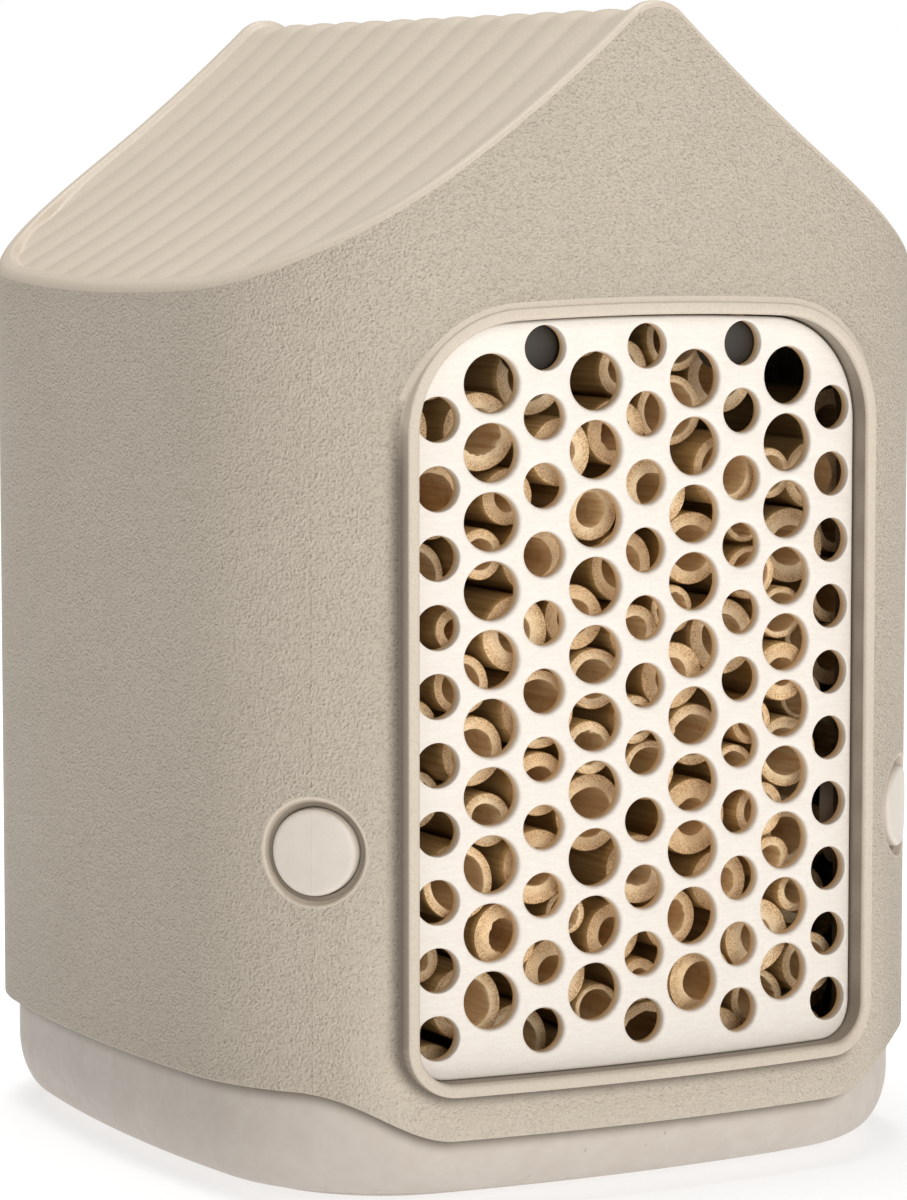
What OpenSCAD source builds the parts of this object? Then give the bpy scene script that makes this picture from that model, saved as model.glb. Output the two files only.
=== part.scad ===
// Insect hotel: a one-piece plastic house shell over a base tray, with a holed
// front grille, a fill of bamboo tubes and two push buttons that lock the shell.
// Front faces -Y, +X is right as seen from the front, +Z is up, origin at the
// middle of the footprint on the ground.

/* [Body] */
// Overall width of the house shell
body_w = 162; // [154:1:172]
// Overall depth of the house shell
body_d = 170; // [162:1:180]
// Height of the ridge above the ground
body_h = 227.5; // [222:0.5:235]
// Radius of the four upright corners
corner_r = 44; // [40:1:48]
// Angle that each crowned wall turns through on either side of its middle
crown_turn = 6.6; // [5:0.1:8]
// Wall thickness of the shell
wall = 2.8; // [2.4:0.1:3.2]
// Height of the shell's lower edge at the sides and back
skirt_z = 22.6; // [21:0.1:24]
// Height of the lower edge of the front apron
apron_z = 13.3; // [12:0.1:15]
// Half width of the front apron where it starts to rise
apron_half = 42; // [38:1:46]
// Half width of the front apron where it meets the side skirt
apron_out = 69; // [66:1:72]

/* [Roof] */
// Roof slope next to the ridge, in degrees
slope_top = 43.6; // [42:0.1:45]
// Roof slope at the eave, in degrees
slope_eave = 27; // [25:0.5:29]
// Rounding radius of the ridge
ridge_r = 8; // [6:0.5:10]
// Width of the smooth rim round the ribbed field
rim_w = 3.4; // [2.5:0.1:5]
// Depth of the rib crests below the rim
field_drop = 1.2; // [0.8:0.1:1.6]
// Number of whole ribs along the ridge
rib_count = 12; // [8:1:16]
// Width of one rib
rib_w = 12.15; // [11:0.05:12.5]
// Height of a rib's crest over the valleys
rib_rise = 0.9; // [0.5:0.1:1.5]

/* [Window and grille] */
// Half width of the window opening
win_half = 49.5; // [48:0.5:51]
// Height of the window's lower edge
win_low = 24.3; // [24:0.1:26]
// Height of the window's upper edge at its middle
win_top = 168.5; // [166:0.5:169]
// Corner radius at the bottom of the window
win_r_low = 7.5; // [5:0.5:10]
// Corner radius at the top of the window
win_r_top = 21; // [16:1:26]
// Width of the raised frame round the window
frame_w = 2.4; // [1.8:0.1:3]
// Height of the frame above the front wall
frame_proud = 0.8; // [0.4:0.1:1]
// Depth of the grille's face behind the front wall's surface
grille_back = 3.7; // [3.2:0.1:4.5]
// Thickness of the grille plate
grille_t = 2.8; // [2.2:0.1:3.2]
// Gap between the grille and the window's inner wall
grille_gap = 0.5; // [0.4:0.1:0.8]
// Upright distance between two holes of one column
hole_pitch = 13; // [12.5:0.1:13.2]
// Sideways distance between two columns of holes
col_pitch = 10.9; // [10.6:0.1:11]
// Diameter of the large holes
large_d = 11.2; // [10:0.1:11.6]
// Diameter of the small holes
small_d = 8.6; // [7:0.1:9]
// Height of the middle of the hole field
field_z = 97.5; // [97:0.1:98]

/* [Buttons] */
// Diameter of the push buttons
button_d = 16.5; // [15:0.1:17]
// Height of the buttons' axis
button_z = 68.5; // [60:0.5:80]
// Inward travel of a button
button_travel = 4; // [3:0.5:4.5]
// Gap round a button in the shell
button_gap = 0.25; // [0.2:0.05:0.4]

/* [Base tray] */
// Distance of the tray's side behind the shell's surface
tray_in = 3; // [3:0.1:3.4]
// Sideways size of the rounding under the tray
tray_round_w = 7.2; // [5:0.1:9]
// Height of the rounding under the tray
tray_round_h = 12.5; // [10:0.5:14]
// Height of the foot ring
foot_h = 1.7; // [1.2:0.1:2.5]
// Distance of the foot ring behind the shell's surface
foot_in = 14.8; // [13:0.1:17]
// Height of the tray's upper edge inside the shell
tray_top = 32; // [30:1:36]

/* [Bamboo] */
// Smallest outer radius of a tube
tube_r_min = 4; // [3.5:0.1:4.5]
// Largest outer radius of a tube
tube_r_max = 7.8; // [7:0.1:8]
// Number of tubes in one layer
tubes_per_layer = 12; // [10:1:14]
// Number of layers
layer_count = 13; // [11:1:14]

/* [Hidden] */
$fn = 64;
half_w = body_w / 2;
half_d = body_d / 2;

// Radii of the crowned walls, so that they run smoothly into the upright corners
turn_s = sin(crown_turn);
turn_c = 1 - cos(crown_turn);
flat_w = half_w - corner_r * (1 - turn_c - turn_s);
flat_d = half_d - corner_r * (1 - turn_c - turn_s);
front_r = (flat_w * turn_s - flat_d * turn_c) / (turn_s * turn_s - turn_c * turn_c);
side_r = (flat_d * turn_s - flat_w * turn_c) / (turn_s * turn_s - turn_c * turn_c);
corner_x = (front_r - corner_r) * turn_s;
corner_y = half_d - front_r + (front_r - corner_r) * cos(crown_turn);
crown_steps = 3;
corner_steps = 16;
corner_turn = 90 - 2 * crown_turn;
quarter = [
    for (i = [0 : crown_steps]) i * crown_turn / crown_steps,
    for (i = [1 : corner_steps]) crown_turn + i * corner_turn / corner_steps,
    for (i = [1 : crown_steps]) 90 - crown_turn + i * crown_turn / crown_steps
];
last_turn = len(quarter) - 1;

// Roof arcs: each slope is a hollow arc that a rounded ridge joins smoothly
slope_r = half_w / (sin(slope_top) - sin(slope_eave));
slope_x = slope_r * sin(slope_top);
ridge_turn = asin(slope_x / (slope_r + ridge_r));
ridge_z = body_h - ridge_r;
slope_z = ridge_z + (slope_r + ridge_r) * cos(ridge_turn);
roof_skin = 2.4;
roof_in = field_drop + rib_rise + roof_skin;
rib_r = (rib_w * rib_w / 4 + rib_rise * rib_rise) / (2 * rib_rise);
cut_depth = 7;

// Window: the top edge is a shallow arch between the two top corners
arch_turn = 3;
arch_r = (win_half - win_r_top) / sin(arch_turn) + win_r_top;
arch_z = win_top - arch_r;
top_corner_z = arch_z + (arch_r - win_r_top) * cos(arch_turn);
frame_depth = 7.4;
crown_y = front_r - half_d;
flange_w = 3;
rim_t = 2;
seat_at = frame_depth + 0.2;
seat_end = seat_at + 2;
socket_end = seat_end + 1.2;
rim_cut_d = small_d + 3.4;
rim_cut_at = 10;
peg_x = 2 * col_pitch;
peg_z = field_z + 5 * hole_pitch;
peg_d = 9.1;
peg_front = 7.7;
peg_end = socket_end + 2.5;
peg_head_t = 1.5;
socket_d = 11;

// Distances along a button's axis, from the centre of the upright corner's arc
face_at = corner_r + 0.3;
flange_in = 6.1;
flange_at = corner_r - flange_in;
flange_t = 2;
flange_d = 19.4;
cap_t = 2.3;
skirt_t = 1.5;
cup_floor_t = 2;
cup_room = 1.9;
cup_floor_at = flange_at - button_travel - cup_room - cup_floor_t;
mouth_in = 5;
cup_mouth_at = corner_r - mouth_in;
cup_d = 20.2;
cup_t = 2;
cup_gap = 0.6;
recess_d = 19.4;
recess_deep = 1.5;
wire_d = 1;
coil_d = 11;
coil_turns = 4;

// Tray
tray_t = 2.4;
floor_top = foot_h + 3;
round_steps = 8;
ledge_over = 1.5;
ledge_in = tray_in + tray_round_w + tray_t - ledge_over;
ledge_z = foot_h + tray_round_h;
foot_w = 6;
notch_gap = 0.9;
notch_half = win_half + flange_w + notch_gap;
notch_z = win_low - flange_w - notch_gap;
arm_w = 14;
arm_t = 3.6;

// Keyhole in the back gable
key_z = 188;
key_r = 5;
slot_r = 2.3;
slot_up = 9;

// Tubes settle one by one into the lowest place that is free
fill_half = half_w - tray_in - tray_t - 1;
tube_gap = 0.3;
tube_count = tubes_per_layer * layer_count;
look_back = 34;
try_step = 1.5;
radii = rands(0, 1, tube_count, 11);
bore_parts = rands(0.46, 0.76, tube_count, 12);
setbacks = rands(0, 4, tube_count, 13);
tube_back = 74;
septum = 4;
tube_wall_gap = 1.6;
empty_x = 36;
empty_z = 147;
tube_clear = 1;
cup_reach = corner_x + corner_y + (cup_floor_at - tube_clear) * sqrt(2);
cup_near_x = corner_x + (cup_floor_at - cup_d / 2 - cup_t) * sqrt(0.5) - tube_clear;
arm_near_x = corner_x + (cup_mouth_at - arm_t - arm_w / 2) * sqrt(0.5) - tube_clear;
rim_clear = 1.5;
rim_clear_x = win_half - grille_gap - rim_t - rim_clear;
rim_clear_low = win_low + grille_gap + rim_t + rim_clear;
rim_clear_top = peg_z - socket_d / 2 - rim_clear;

// Point of the plan at turn a from the front, moved inwards by d
function quarter_point(a, d) =
    a <= crown_turn
        ? [(front_r - d) * sin(a), half_d - front_r + (front_r - d) * cos(a)]
    : a <= 90 - crown_turn + 0.001
        ? [corner_x + (corner_r - d) * sin(a), corner_y + (corner_r - d) * cos(a)]
    : [half_w - side_r + (side_r - d) * sin(a), (side_r - d) * cos(a)];

// Closed plan of the house, moved inwards by d, counter-clockwise from the front
function plan(d) = [
    for (i = [0 : last_turn - 1])
        let (p = quarter_point(quarter[i], d)) [p.x, -p.y],
    for (i = [last_turn : -1 : 1])
        let (p = quarter_point(quarter[i], d)) [p.x, p.y],
    for (i = [0 : last_turn - 1])
        let (p = quarter_point(quarter[i], d)) [-p.x, p.y],
    for (i = [last_turn : -1 : 1])
        let (p = quarter_point(quarter[i], d)) [-p.x, -p.y]
];

// Half of the roof line from the ridge to the eave, moved inwards by d
function roof_half(d) = [
    for (i = [0 : 6])
        let (a = ridge_turn * i / 6)
            [(ridge_r - d) * sin(a), ridge_z + (ridge_r - d) * cos(a)],
    for (i = [1 : 14])
        let (a = ridge_turn + (slope_eave - 1 - ridge_turn) * i / 14)
            [slope_x - (slope_r + d) * sin(a), slope_z - (slope_r + d) * cos(a)]
];

// Closed outline of the window, grown outwards by g
function window_outline(g) = [
    for (i = [0 : 6])
        let (a = -90 + 15 * i)
            [win_half - win_r_low + (win_r_low + g) * cos(a),
             win_low + win_r_low + (win_r_low + g) * sin(a)],
    for (i = [0 : 10])
        let (a = (90 - arch_turn) * i / 10)
            [win_half - win_r_top + (win_r_top + g) * cos(a),
             top_corner_z + (win_r_top + g) * sin(a)],
    for (i = [1 : 3])
        let (a = 90 - arch_turn + 2 * arch_turn * i / 4)
            [(arch_r + g) * cos(a), arch_z + (arch_r + g) * sin(a)],
    for (i = [10 : -1 : 0])
        let (a = (90 - arch_turn) * i / 10)
            [-(win_half - win_r_top) - (win_r_top + g) * cos(a),
             top_corner_z + (win_r_top + g) * sin(a)],
    for (i = [6 : -1 : 0])
        let (a = -90 + 15 * i)
            [-(win_half - win_r_low) - (win_r_low + g) * cos(a),
             win_low + win_r_low + (win_r_low + g) * sin(a)]
];

// Upright prism over the plan
module plan_prism(d, low, high) {
    translate([0, 0, low])
        linear_extrude(high - low)
            polygon(plan(d));
}

// Stack of plan outlines, one for each [inset, height]
module plan_loft(levels) {
    rings = [for (l = levels) [for (p = plan(l[0])) [p.x, p.y, l[1]]]];
    n = len(rings[0]);
    m = len(rings);
    polyhedron(
        points = [for (r = rings) each r],
        faces = [
            [for (j = [0 : n - 1]) j],
            for (i = [0 : m - 2])
                for (j = [0 : n - 1])
                    [i * n + j, (i + 1) * n + j, (i + 1) * n + (j + 1) % n, i * n + (j + 1) % n],
            [for (j = [n - 1 : -1 : 0]) (m - 1) * n + j]
        ]
    );
}

// Shape drawn in X and Z, run along Y from y0 to y1
module along_y(y0, y1) {
    translate([0, y1, 0])
        rotate([90, 0, 0])
            linear_extrude(y1 - y0)
                children();
}

// Everything under the roof line
module under_roof(d) {
    half = roof_half(d);
    last = half[len(half) - 1];
    along_y(-half_d - 5, half_d + 5)
        polygon([
            [-last.x, -5],
            [last.x, -5],
            for (i = [len(half) - 1 : -1 : 0]) half[i],
            for (i = [1 : len(half) - 1]) [-half[i].x, half[i].y]
        ]);
}

// Disc cut out of a rib profile: its rim is the rib's crest
module rib_discs(centre_r) {
    for (i = [0 : rib_count + 1])
        translate([centre_r, (i - (rib_count + 1) / 2) * rib_w])
            circle(r = rib_r, $fn = 96);
}

// What is cut away over the ribs of the right-hand slope
module slope_cut() {
    translate([slope_x, 0, slope_z])
        rotate([90, 0, 0])
            rotate([0, 0, 270 - ridge_turn])
                rotate_extrude(angle = ridge_turn - slope_eave + 2, $fn = 180)
                    difference() {
                        translate([slope_r - cut_depth, -half_d])
                            square([cut_depth + field_drop + rib_rise + 0.4, body_d]);
                        rib_discs(slope_r + field_drop + rib_r);
                    }
}

// What is cut away over the ribs where they pass over the ridge
module ridge_cut() {
    translate([0, 0, ridge_z])
        rotate([90, 0, 0])
            rotate([0, 0, 90 - ridge_turn])
                rotate_extrude(angle = 2 * ridge_turn, $fn = 96)
                    difference() {
                        translate([ridge_r - field_drop - rib_rise - 0.4, -half_d])
                            square([cut_depth + field_drop + rib_rise, body_d]);
                        rib_discs(ridge_r - field_drop - rib_r);
                    }
}

// Ring between two window outlines, between two depths behind the front wall
module window_ring(outer, inner, front, back) {
    intersection() {
        along_y(-half_d - 5, -half_d / 2)
            difference() {
                polygon(window_outline(outer));
                polygon(window_outline(inner));
            }
        crown_slab(front, back);
    }
}

// Curved slab that follows the front wall, between two depths behind it
module crown_slab(front, back) {
    translate([0, crown_y, 0])
        difference() {
            cylinder(h = body_h, r = front_r - front, $fn = 360);
            translate([0, 0, -1])
                cylinder(h = body_h + 2, r = front_r - back, $fn = 360);
        }
}

// Places a button's parts on its axis; side is -1 on the left and 1 on the right
module on_button_axis(side) {
    translate([side * corner_x, -corner_y, button_z])
        rotate([0, 0, -90 + side * 45])
            rotate([0, 90, 0])
                children();
}

// Upright S-curve of the shell's lower front edge
function apron_edge(x) =
    let (t = min(1, max(0, (abs(x) - apron_half) / (apron_out - apron_half))))
        apron_z + (skirt_z - apron_z) * (1 - cos(180 * t)) / 2;

module apron_cut() {
    along_y(-half_d - 5, -corner_y + 5)
        polygon([
            [-half_w - 5, -5],
            [half_w + 5, -5],
            [half_w + 5, skirt_z],
            for (i = [12 : -1 : 0])
                let (x = apron_half + (apron_out - apron_half) * i / 12)
                    [x, apron_edge(x)],
            for (i = [0 : 12])
                let (x = apron_half + (apron_out - apron_half) * i / 12)
                    [-x, apron_edge(x)],
            [-half_w - 5, skirt_z]
        ]);
    translate([-half_w - 5, -corner_y + 5, -5])
        cube([body_w + 10, body_d, skirt_z + 5]);
}

module keyhole() {
    along_y(half_d - 15, half_d + 5) {
        translate([0, key_z])
            circle(r = key_r);
        translate([-slot_r, key_z])
            square([2 * slot_r, slot_up]);
        translate([0, key_z + slot_up])
            circle(r = slot_r);
    }
}

// House shell: walls, ribbed gable roof and window frame in one moulding
module outer_shell() {
    color([0.75, 0.70, 0.63])
        difference() {
            union() {
                difference() {
                    intersection() {
                        plan_prism(0, 0, body_h + 5);
                        under_roof(0);
                    }
                    intersection() {
                        plan_prism(rim_w, skirt_z, body_h + 10);
                        union() {
                            slope_cut();
                            mirror([1, 0, 0])
                                slope_cut();
                            ridge_cut();
                        }
                    }
                    intersection() {
                        plan_prism(wall, -5, body_h);
                        under_roof(roof_in);
                    }
                    apron_cut();
                }
                window_ring(frame_w, 0, -frame_proud, frame_depth);
            }
            along_y(-half_d - 5, -half_d / 2)
                polygon(window_outline(0));
            for (side = [-1, 1])
                on_button_axis(side) {
                    cylinder(h = corner_r + 5, d = button_d + 2 * button_gap);
                    translate([0, 0, corner_r - recess_deep])
                        cylinder(h = 5, d = recess_d);
                }
            keyhole();
        }
}

// Base tray: rounded dish with a foot ring and the two arms that carry the buttons
module base_tray() {
    rounding = [
        for (i = [0 : round_steps])
            let (a = 90 * i / round_steps)
                [tray_in + tray_round_w * (1 - sin(a)),
                 foot_h + tray_round_h * (1 - cos(a))]
    ];
    color([0.83, 0.79, 0.74]) {
        difference() {
            union() {
                plan_loft(concat(rounding, [[tray_in, tray_top]]));
                plan_prism(foot_in, 0, foot_h + 1);
            }
            plan_prism(ledge_in, floor_top, ledge_z);
            plan_prism(tray_in + tray_t, ledge_z, tray_top + 5);
            plan_prism(foot_in + foot_w, -1, foot_h - 0.2);
            along_y(-half_d - 5, -half_d / 2)
                translate([-notch_half, notch_z])
                    square([2 * notch_half, tray_top]);
        }
        for (side = [-1, 1])
            button_arm(side);
    }
}

// Arm that rises inside the corner and ends in the button's cup
module button_arm(side) {
    difference() {
        union() {
            on_button_axis(side)
                translate([0, 0, cup_floor_at])
                    cylinder(h = cup_mouth_at - cup_floor_at, d = cup_d + 2 * cup_t);
            translate([side * corner_x, -corner_y, 0])
                rotate([0, 0, -90 + side * 45])
                    translate([cup_mouth_at - arm_t, -arm_w / 2, floor_top - 0.5])
                        cube([arm_t, arm_w, button_z - floor_top - cup_d / 2]);
        }
        on_button_axis(side)
            translate([0, 0, cup_floor_at + cup_floor_t])
                cylinder(h = corner_r, d = cup_d);
    }
}

// One column of grille holes
module hole_column(x, count, first_z, d) {
    for (i = [0 : count - 1])
        translate([x, first_z - i * hole_pitch])
            circle(d = d);
}

// Front grille: a curved plate full of round holes, with a rim and a flange behind
module front_grille() {
    large_top = field_z + 4.5 * hole_pitch;
    color([0.90, 0.87, 0.82])
        difference() {
            union() {
                intersection() {
                    along_y(-half_d - 5, -half_d / 2)
                        polygon(window_outline(-grille_gap));
                    crown_slab(grille_back, grille_back + grille_t);
                }
                window_ring(-grille_gap, -grille_gap - rim_t, grille_back + 1, seat_end);
                window_ring(flange_w, -grille_gap - rim_t, seat_at, seat_end);
                for (side = [-1, 1])
                    intersection() {
                        along_y(-half_d - 5, -half_d / 2)
                            translate([side * peg_x, peg_z])
                                circle(d = socket_d);
                        crown_slab(grille_back + 1, socket_end);
                    }
            }
            for (side = [-1, 1]) {
                along_y(-half_d + peg_front - 0.1, -half_d / 2)
                    translate([side * peg_x, peg_z])
                        circle(d = peg_d);
                on_button_axis(side)
                    cylinder(h = corner_r, d = cup_d + 2 * (cup_t + cup_gap));
            }
            along_y(-half_d - 5, -half_d / 2) {
                for (c = [-3, -1, 1, 3])
                    hole_column(c * col_pitch, 10, large_top, large_d);
                for (c = [-2, 0, 2])
                    hole_column(c * col_pitch, 11, large_top + hole_pitch / 2, small_d);
                for (c = [-4, 4])
                    hole_column(c * col_pitch, 10, large_top - hole_pitch / 2, small_d);
            }
            along_y(-half_d + rim_cut_at, -half_d / 2)
                for (c = [-4, 4])
                    hole_column(c * col_pitch, 10, large_top - hole_pitch / 2, rim_cut_d);
        }
}

// Plug in the socket behind one of the two outer holes of the top row
module grille_peg(side) {
    color([0.23, 0.20, 0.17])
        translate([side * peg_x, 0, peg_z]) {
            along_y(-half_d + peg_front, -half_d + peg_end)
                circle(d = peg_d);
            along_y(-half_d + peg_end - peg_head_t, -half_d + peg_end)
                circle(d = socket_d);
        }
}

module left_grille_peg() {
    grille_peg(-1);
}

module right_grille_peg() {
    grille_peg(1);
}

// Push button: a cap that follows the corner's curve, with a flange behind the wall
module push_button(side) {
    color([0.86, 0.83, 0.78])
        difference() {
            intersection() {
                on_button_axis(side)
                    union() {
                        translate([0, 0, flange_at])
                            cylinder(h = corner_r, d = button_d);
                        translate([0, 0, flange_at])
                            cylinder(h = flange_t, d = flange_d);
                    }
                translate([side * corner_x, -corner_y, 0])
                    cylinder(h = body_h, r = face_at, $fn = 180);
            }
            on_button_axis(side)
                translate([0, 0, flange_at - 1])
                    cylinder(h = corner_r - cap_t - flange_at + 1, d = button_d - 2 * skirt_t);
        }
}

module left_button() {
    push_button(-1);
}

module right_button() {
    push_button(1);
}

// Coil spring between the cup's floor and the inside of the button's cap
module coil_spring(side) {
    length = corner_r - cap_t - cup_floor_at - cup_floor_t - 0.2 - wire_d;
    steps = 16 * coil_turns;
    sides = 6;
    spots = [
        for (i = [0 : steps])
            for (j = [0 : sides - 1])
                let (a = 360 * coil_turns * i / steps,
                     b = 360 * j / sides,
                     r = (coil_d + wire_d * cos(b)) / 2)
                    [r * cos(a), r * sin(a), length * i / steps + wire_d * sin(b) / 2]
    ];
    color([0.62, 0.62, 0.64])
        on_button_axis(side)
            translate([0, 0, cup_floor_at + cup_floor_t + 0.1 + wire_d / 2])
                polyhedron(
                    points = spots,
                    faces = [
                        [for (j = [0 : sides - 1]) j],
                        for (i = [0 : steps - 1])
                            for (j = [0 : sides - 1])
                                [i * sides + j, (i + 1) * sides + j,
                                 (i + 1) * sides + (j + 1) % sides, i * sides + (j + 1) % sides],
                        [for (j = [sides - 1 : -1 : 0]) steps * sides + j]
                    ]
                );
}

module left_button_spring() {
    coil_spring(-1);
}

module right_button_spring() {
    coil_spring(1);
}

// Lowest height of a tube of radius r at x over the tray: on its floor, or on the ledge
function tray_z(x, r) =
    (abs(x) + r > half_w - ledge_in - tube_gap ? ledge_z : floor_top) + tube_gap + r;

// Lowest height at which a tube of radius r at x rests on the tray or the tubes below it
function rest_z(x, r, tubes) =
    max(concat([tray_z(x, r)], [
        for (t = tubes)
            let (reach = r + t[2] + tube_gap, dx = abs(x - t[0]))
                if (dx < reach) t[1] + sqrt(reach * reach - dx * dx)
    ]));

// The tubes so far, with all the others settled after them
function settle(tubes) =
    let (i = len(tubes))
        i == tube_count ? tubes :
            let (
                r = tube_r_min + (tube_r_max - tube_r_min) * pow(radii[i], 0.7),
                near = [for (k = [max(0, i - look_back) : 1 : i - 1]) tubes[k]],
                spots = [
                    for (x = [r - fill_half : try_step : fill_half - r])
                        [rest_z(x, r, near), x]
                ],
                low = min([for (s = spots) s[0]]),
                best = [for (s = spots) if (s[0] == low) s][0]
            )
                settle(concat(tubes, [[best[1], best[0], r, bore_parts[i] * r, setbacks[i]]]));

settled = settle([]);

// Length along Y from the middle to the tray's inner side, for a tube [x, z, radius]
function wall_reach(t) =
    let (
        inset = t[1] - t[2] < ledge_z ? ledge_in : tray_in + tray_t,
        edge_x = abs(t[0]) + t[2] + tube_gap,
        dx = max(0, edge_x - corner_x)
    )
        dx < (corner_r - inset) * cos(crown_turn)
            ? corner_y + sqrt(pow(corner_r - inset, 2) - dx * dx) - tube_wall_gap
            : sqrt(pow(side_r - inset, 2) - pow(edge_x + side_r - half_w, 2)) - tube_wall_gap;

// Depth of the grille behind the front wall's surface, where a tube [x, z, radius] is
function grille_reach(t) =
    t[1] + t[2] > rim_clear_top ? peg_end
    : abs(t[0]) + t[2] > rim_clear_x || t[1] - t[2] < rim_clear_low ? seat_end
    : grille_back + grille_t;

// Foremost place of a tube [x, z, radius]: behind the grille, the button cups and the arms
function tube_front(t) =
    let (
        far = abs(t[0]) + t[2],
        reach = t[2] + cup_d / 2 + cup_t + tube_clear,
        near_x = t[1] > button_z - reach ? cup_near_x : arm_near_x,
        by_cup = t[1] < button_z + reach && far > near_x
    )
        max(
            -wall_reach(t),
            crown_y - sqrt(front_r * front_r - far * far) + grille_reach(t) + tube_clear,
            by_cup ? far - cup_reach : -half_d
        );

// True for a tube that is clear of the roof and of the empty corner at the top right
function is_kept(t) =
    norm([slope_x - abs(t[0]), slope_z - t[1]]) > slope_r + roof_in + t[2] + 1
        && (t[0] < empty_x || t[1] < empty_z);

module bamboo_tube(t) {
    front = tube_front(t) + t[4];
    back = min(tube_back, wall_reach(t));
    color([0.80, 0.68, 0.50])
        translate([t[0], 0, t[1]])
            difference() {
                along_y(front, back)
                    circle(r = t[2]);
                along_y(front - 1, back - septum)
                    circle(r = t[3]);
            }
}

// One layer of tubes, in the order in which they settled
module bamboo_layer(n) {
    for (i = [(n - 1) * tubes_per_layer : n * tubes_per_layer - 1])
        if (is_kept(settled[i]))
            bamboo_tube(settled[i]);
}

module bamboo_layer_01() {
    bamboo_layer(1);
}

module bamboo_layer_02() {
    bamboo_layer(2);
}

module bamboo_layer_03() {
    bamboo_layer(3);
}

module bamboo_layer_04() {
    bamboo_layer(4);
}

module bamboo_layer_05() {
    bamboo_layer(5);
}

module bamboo_layer_06() {
    bamboo_layer(6);
}

module bamboo_layer_07() {
    bamboo_layer(7);
}

module bamboo_layer_08() {
    bamboo_layer(8);
}

module bamboo_layer_09() {
    bamboo_layer(9);
}

module bamboo_layer_10() {
    bamboo_layer(10);
}

module bamboo_layer_11() {
    bamboo_layer(11);
}

module bamboo_layer_12() {
    bamboo_layer(12);
}

module bamboo_layer_13() {
    bamboo_layer(13);
}

outer_shell();
base_tray();
front_grille();
left_grille_peg();
right_grille_peg();
left_button();
right_button();
left_button_spring();
right_button_spring();
bamboo_layer_01();
bamboo_layer_02();
bamboo_layer_03();
bamboo_layer_04();
bamboo_layer_05();
bamboo_layer_06();
bamboo_layer_07();
bamboo_layer_08();
bamboo_layer_09();
bamboo_layer_10();
bamboo_layer_11();
bamboo_layer_12();
bamboo_layer_13();
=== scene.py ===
import math

import bmesh
import bpy
import numpy as np
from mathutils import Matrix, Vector
from mathutils.geometry import delaunay_2d_cdt


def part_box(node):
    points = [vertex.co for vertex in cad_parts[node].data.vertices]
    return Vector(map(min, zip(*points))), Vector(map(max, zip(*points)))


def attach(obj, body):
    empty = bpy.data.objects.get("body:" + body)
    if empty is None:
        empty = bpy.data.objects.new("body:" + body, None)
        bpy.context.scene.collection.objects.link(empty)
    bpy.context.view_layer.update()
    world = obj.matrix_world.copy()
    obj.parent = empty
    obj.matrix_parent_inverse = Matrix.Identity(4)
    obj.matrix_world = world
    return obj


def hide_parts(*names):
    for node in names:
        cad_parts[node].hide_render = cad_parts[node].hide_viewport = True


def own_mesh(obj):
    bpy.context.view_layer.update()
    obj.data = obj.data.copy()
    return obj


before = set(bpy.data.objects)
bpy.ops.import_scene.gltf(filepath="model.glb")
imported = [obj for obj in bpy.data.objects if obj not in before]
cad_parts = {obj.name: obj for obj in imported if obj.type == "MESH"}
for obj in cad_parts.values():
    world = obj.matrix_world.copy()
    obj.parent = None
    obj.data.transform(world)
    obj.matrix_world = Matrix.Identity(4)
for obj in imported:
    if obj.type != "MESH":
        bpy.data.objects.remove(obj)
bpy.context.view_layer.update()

# ---------------------------------------------------------------- driving sizes
# Shapes are worked out in millimetres and turned to metres when a mesh is made.
MM = 0.001
# Points of a mesh that are closer than this become one.
WELD = 0.002
SHELL_HIGH = np.array(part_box("outer_shell")[1]) / MM
HALF_W, HALF_D, BODY_H = SHELL_HIGH

# Plan of the house: four crowned walls and four upright corners
CORNER_R = 44.0
CROWN_TURN = math.radians(6.6)
WALL = 2.8
SKIRT_Z = 22.6
APRON_Z = 13.3
APRON_HALF = 42.0
APRON_OUT = 69.0

# Roof
SLOPE_TOP = math.radians(43.6)
SLOPE_EAVE = math.radians(27)
RIDGE_R = 8.0
RIM_W = 3.4
FIELD_DROP = 1.2
RIB_W = 12.15
RIB_RISE = 0.9
ROOF_IN = FIELD_DROP + RIB_RISE + 2.4
EDGE_R = 1.3
FIELD_IN = 5.6

# Window and grille
WIN_HALF = 49.5
WIN_LOW = 24.3
WIN_TOP = 168.5
WIN_R_LOW = 7.5
WIN_R_TOP = 21.0
ARCH_TURN = math.radians(3)
FRAME_W = 2.4
FRAME_PROUD = 0.8
FRAME_RISE = 0.5
FOOT_GROOVE = 0.6
FRAME_DEPTH = 7.4
GRILLE_BACK = 3.7
GRILLE_T = 2.8
GRILLE_GAP = 0.5
FLANGE_W = 3.0
RIM_T = 2.0
SEAT_AT = FRAME_DEPTH + 0.2
SEAT_END = SEAT_AT + 2
SOCKET_END = SEAT_END + 1.2
RIM_CUT_R = 6.0
HOLE_PITCH = 13.0
COL_PITCH = 10.9
LARGE_R = 5.6
SMALL_R = 4.3
FIELD_Z = 97.5
OUTER_COLUMN = 3.5 * COL_PITCH
TOP_ROW = FIELD_Z + 4.9 * HOLE_PITCH
HOLE_SIDES = 44
SOCKET_R = 5.5

# Buttons: distances along a button's axis, from the centre of the corner's arc
BUTTON_Z = 68.5
BUTTON_R = 8.25
HOLE_R = 8.5
RECESS_R = 10.1
RECESS_DEEP = 1.5
FACE_AT = CORNER_R + 0.3
FLANGE_AT = CORNER_R - 6.1
FLANGE_T = 2.0
FLANGE_R = 9.7
CAP_T = 2.3
CUP_FLOOR_AT = 30.0
CUP_FLOOR_T = 2.0
CUP_MOUTH_AT = CORNER_R - 5
CUP_R = 10.1
CUP_T = 2.0
WIRE_R = 0.5
COIL_R = 5.5
COIL_TURNS = 4

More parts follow.
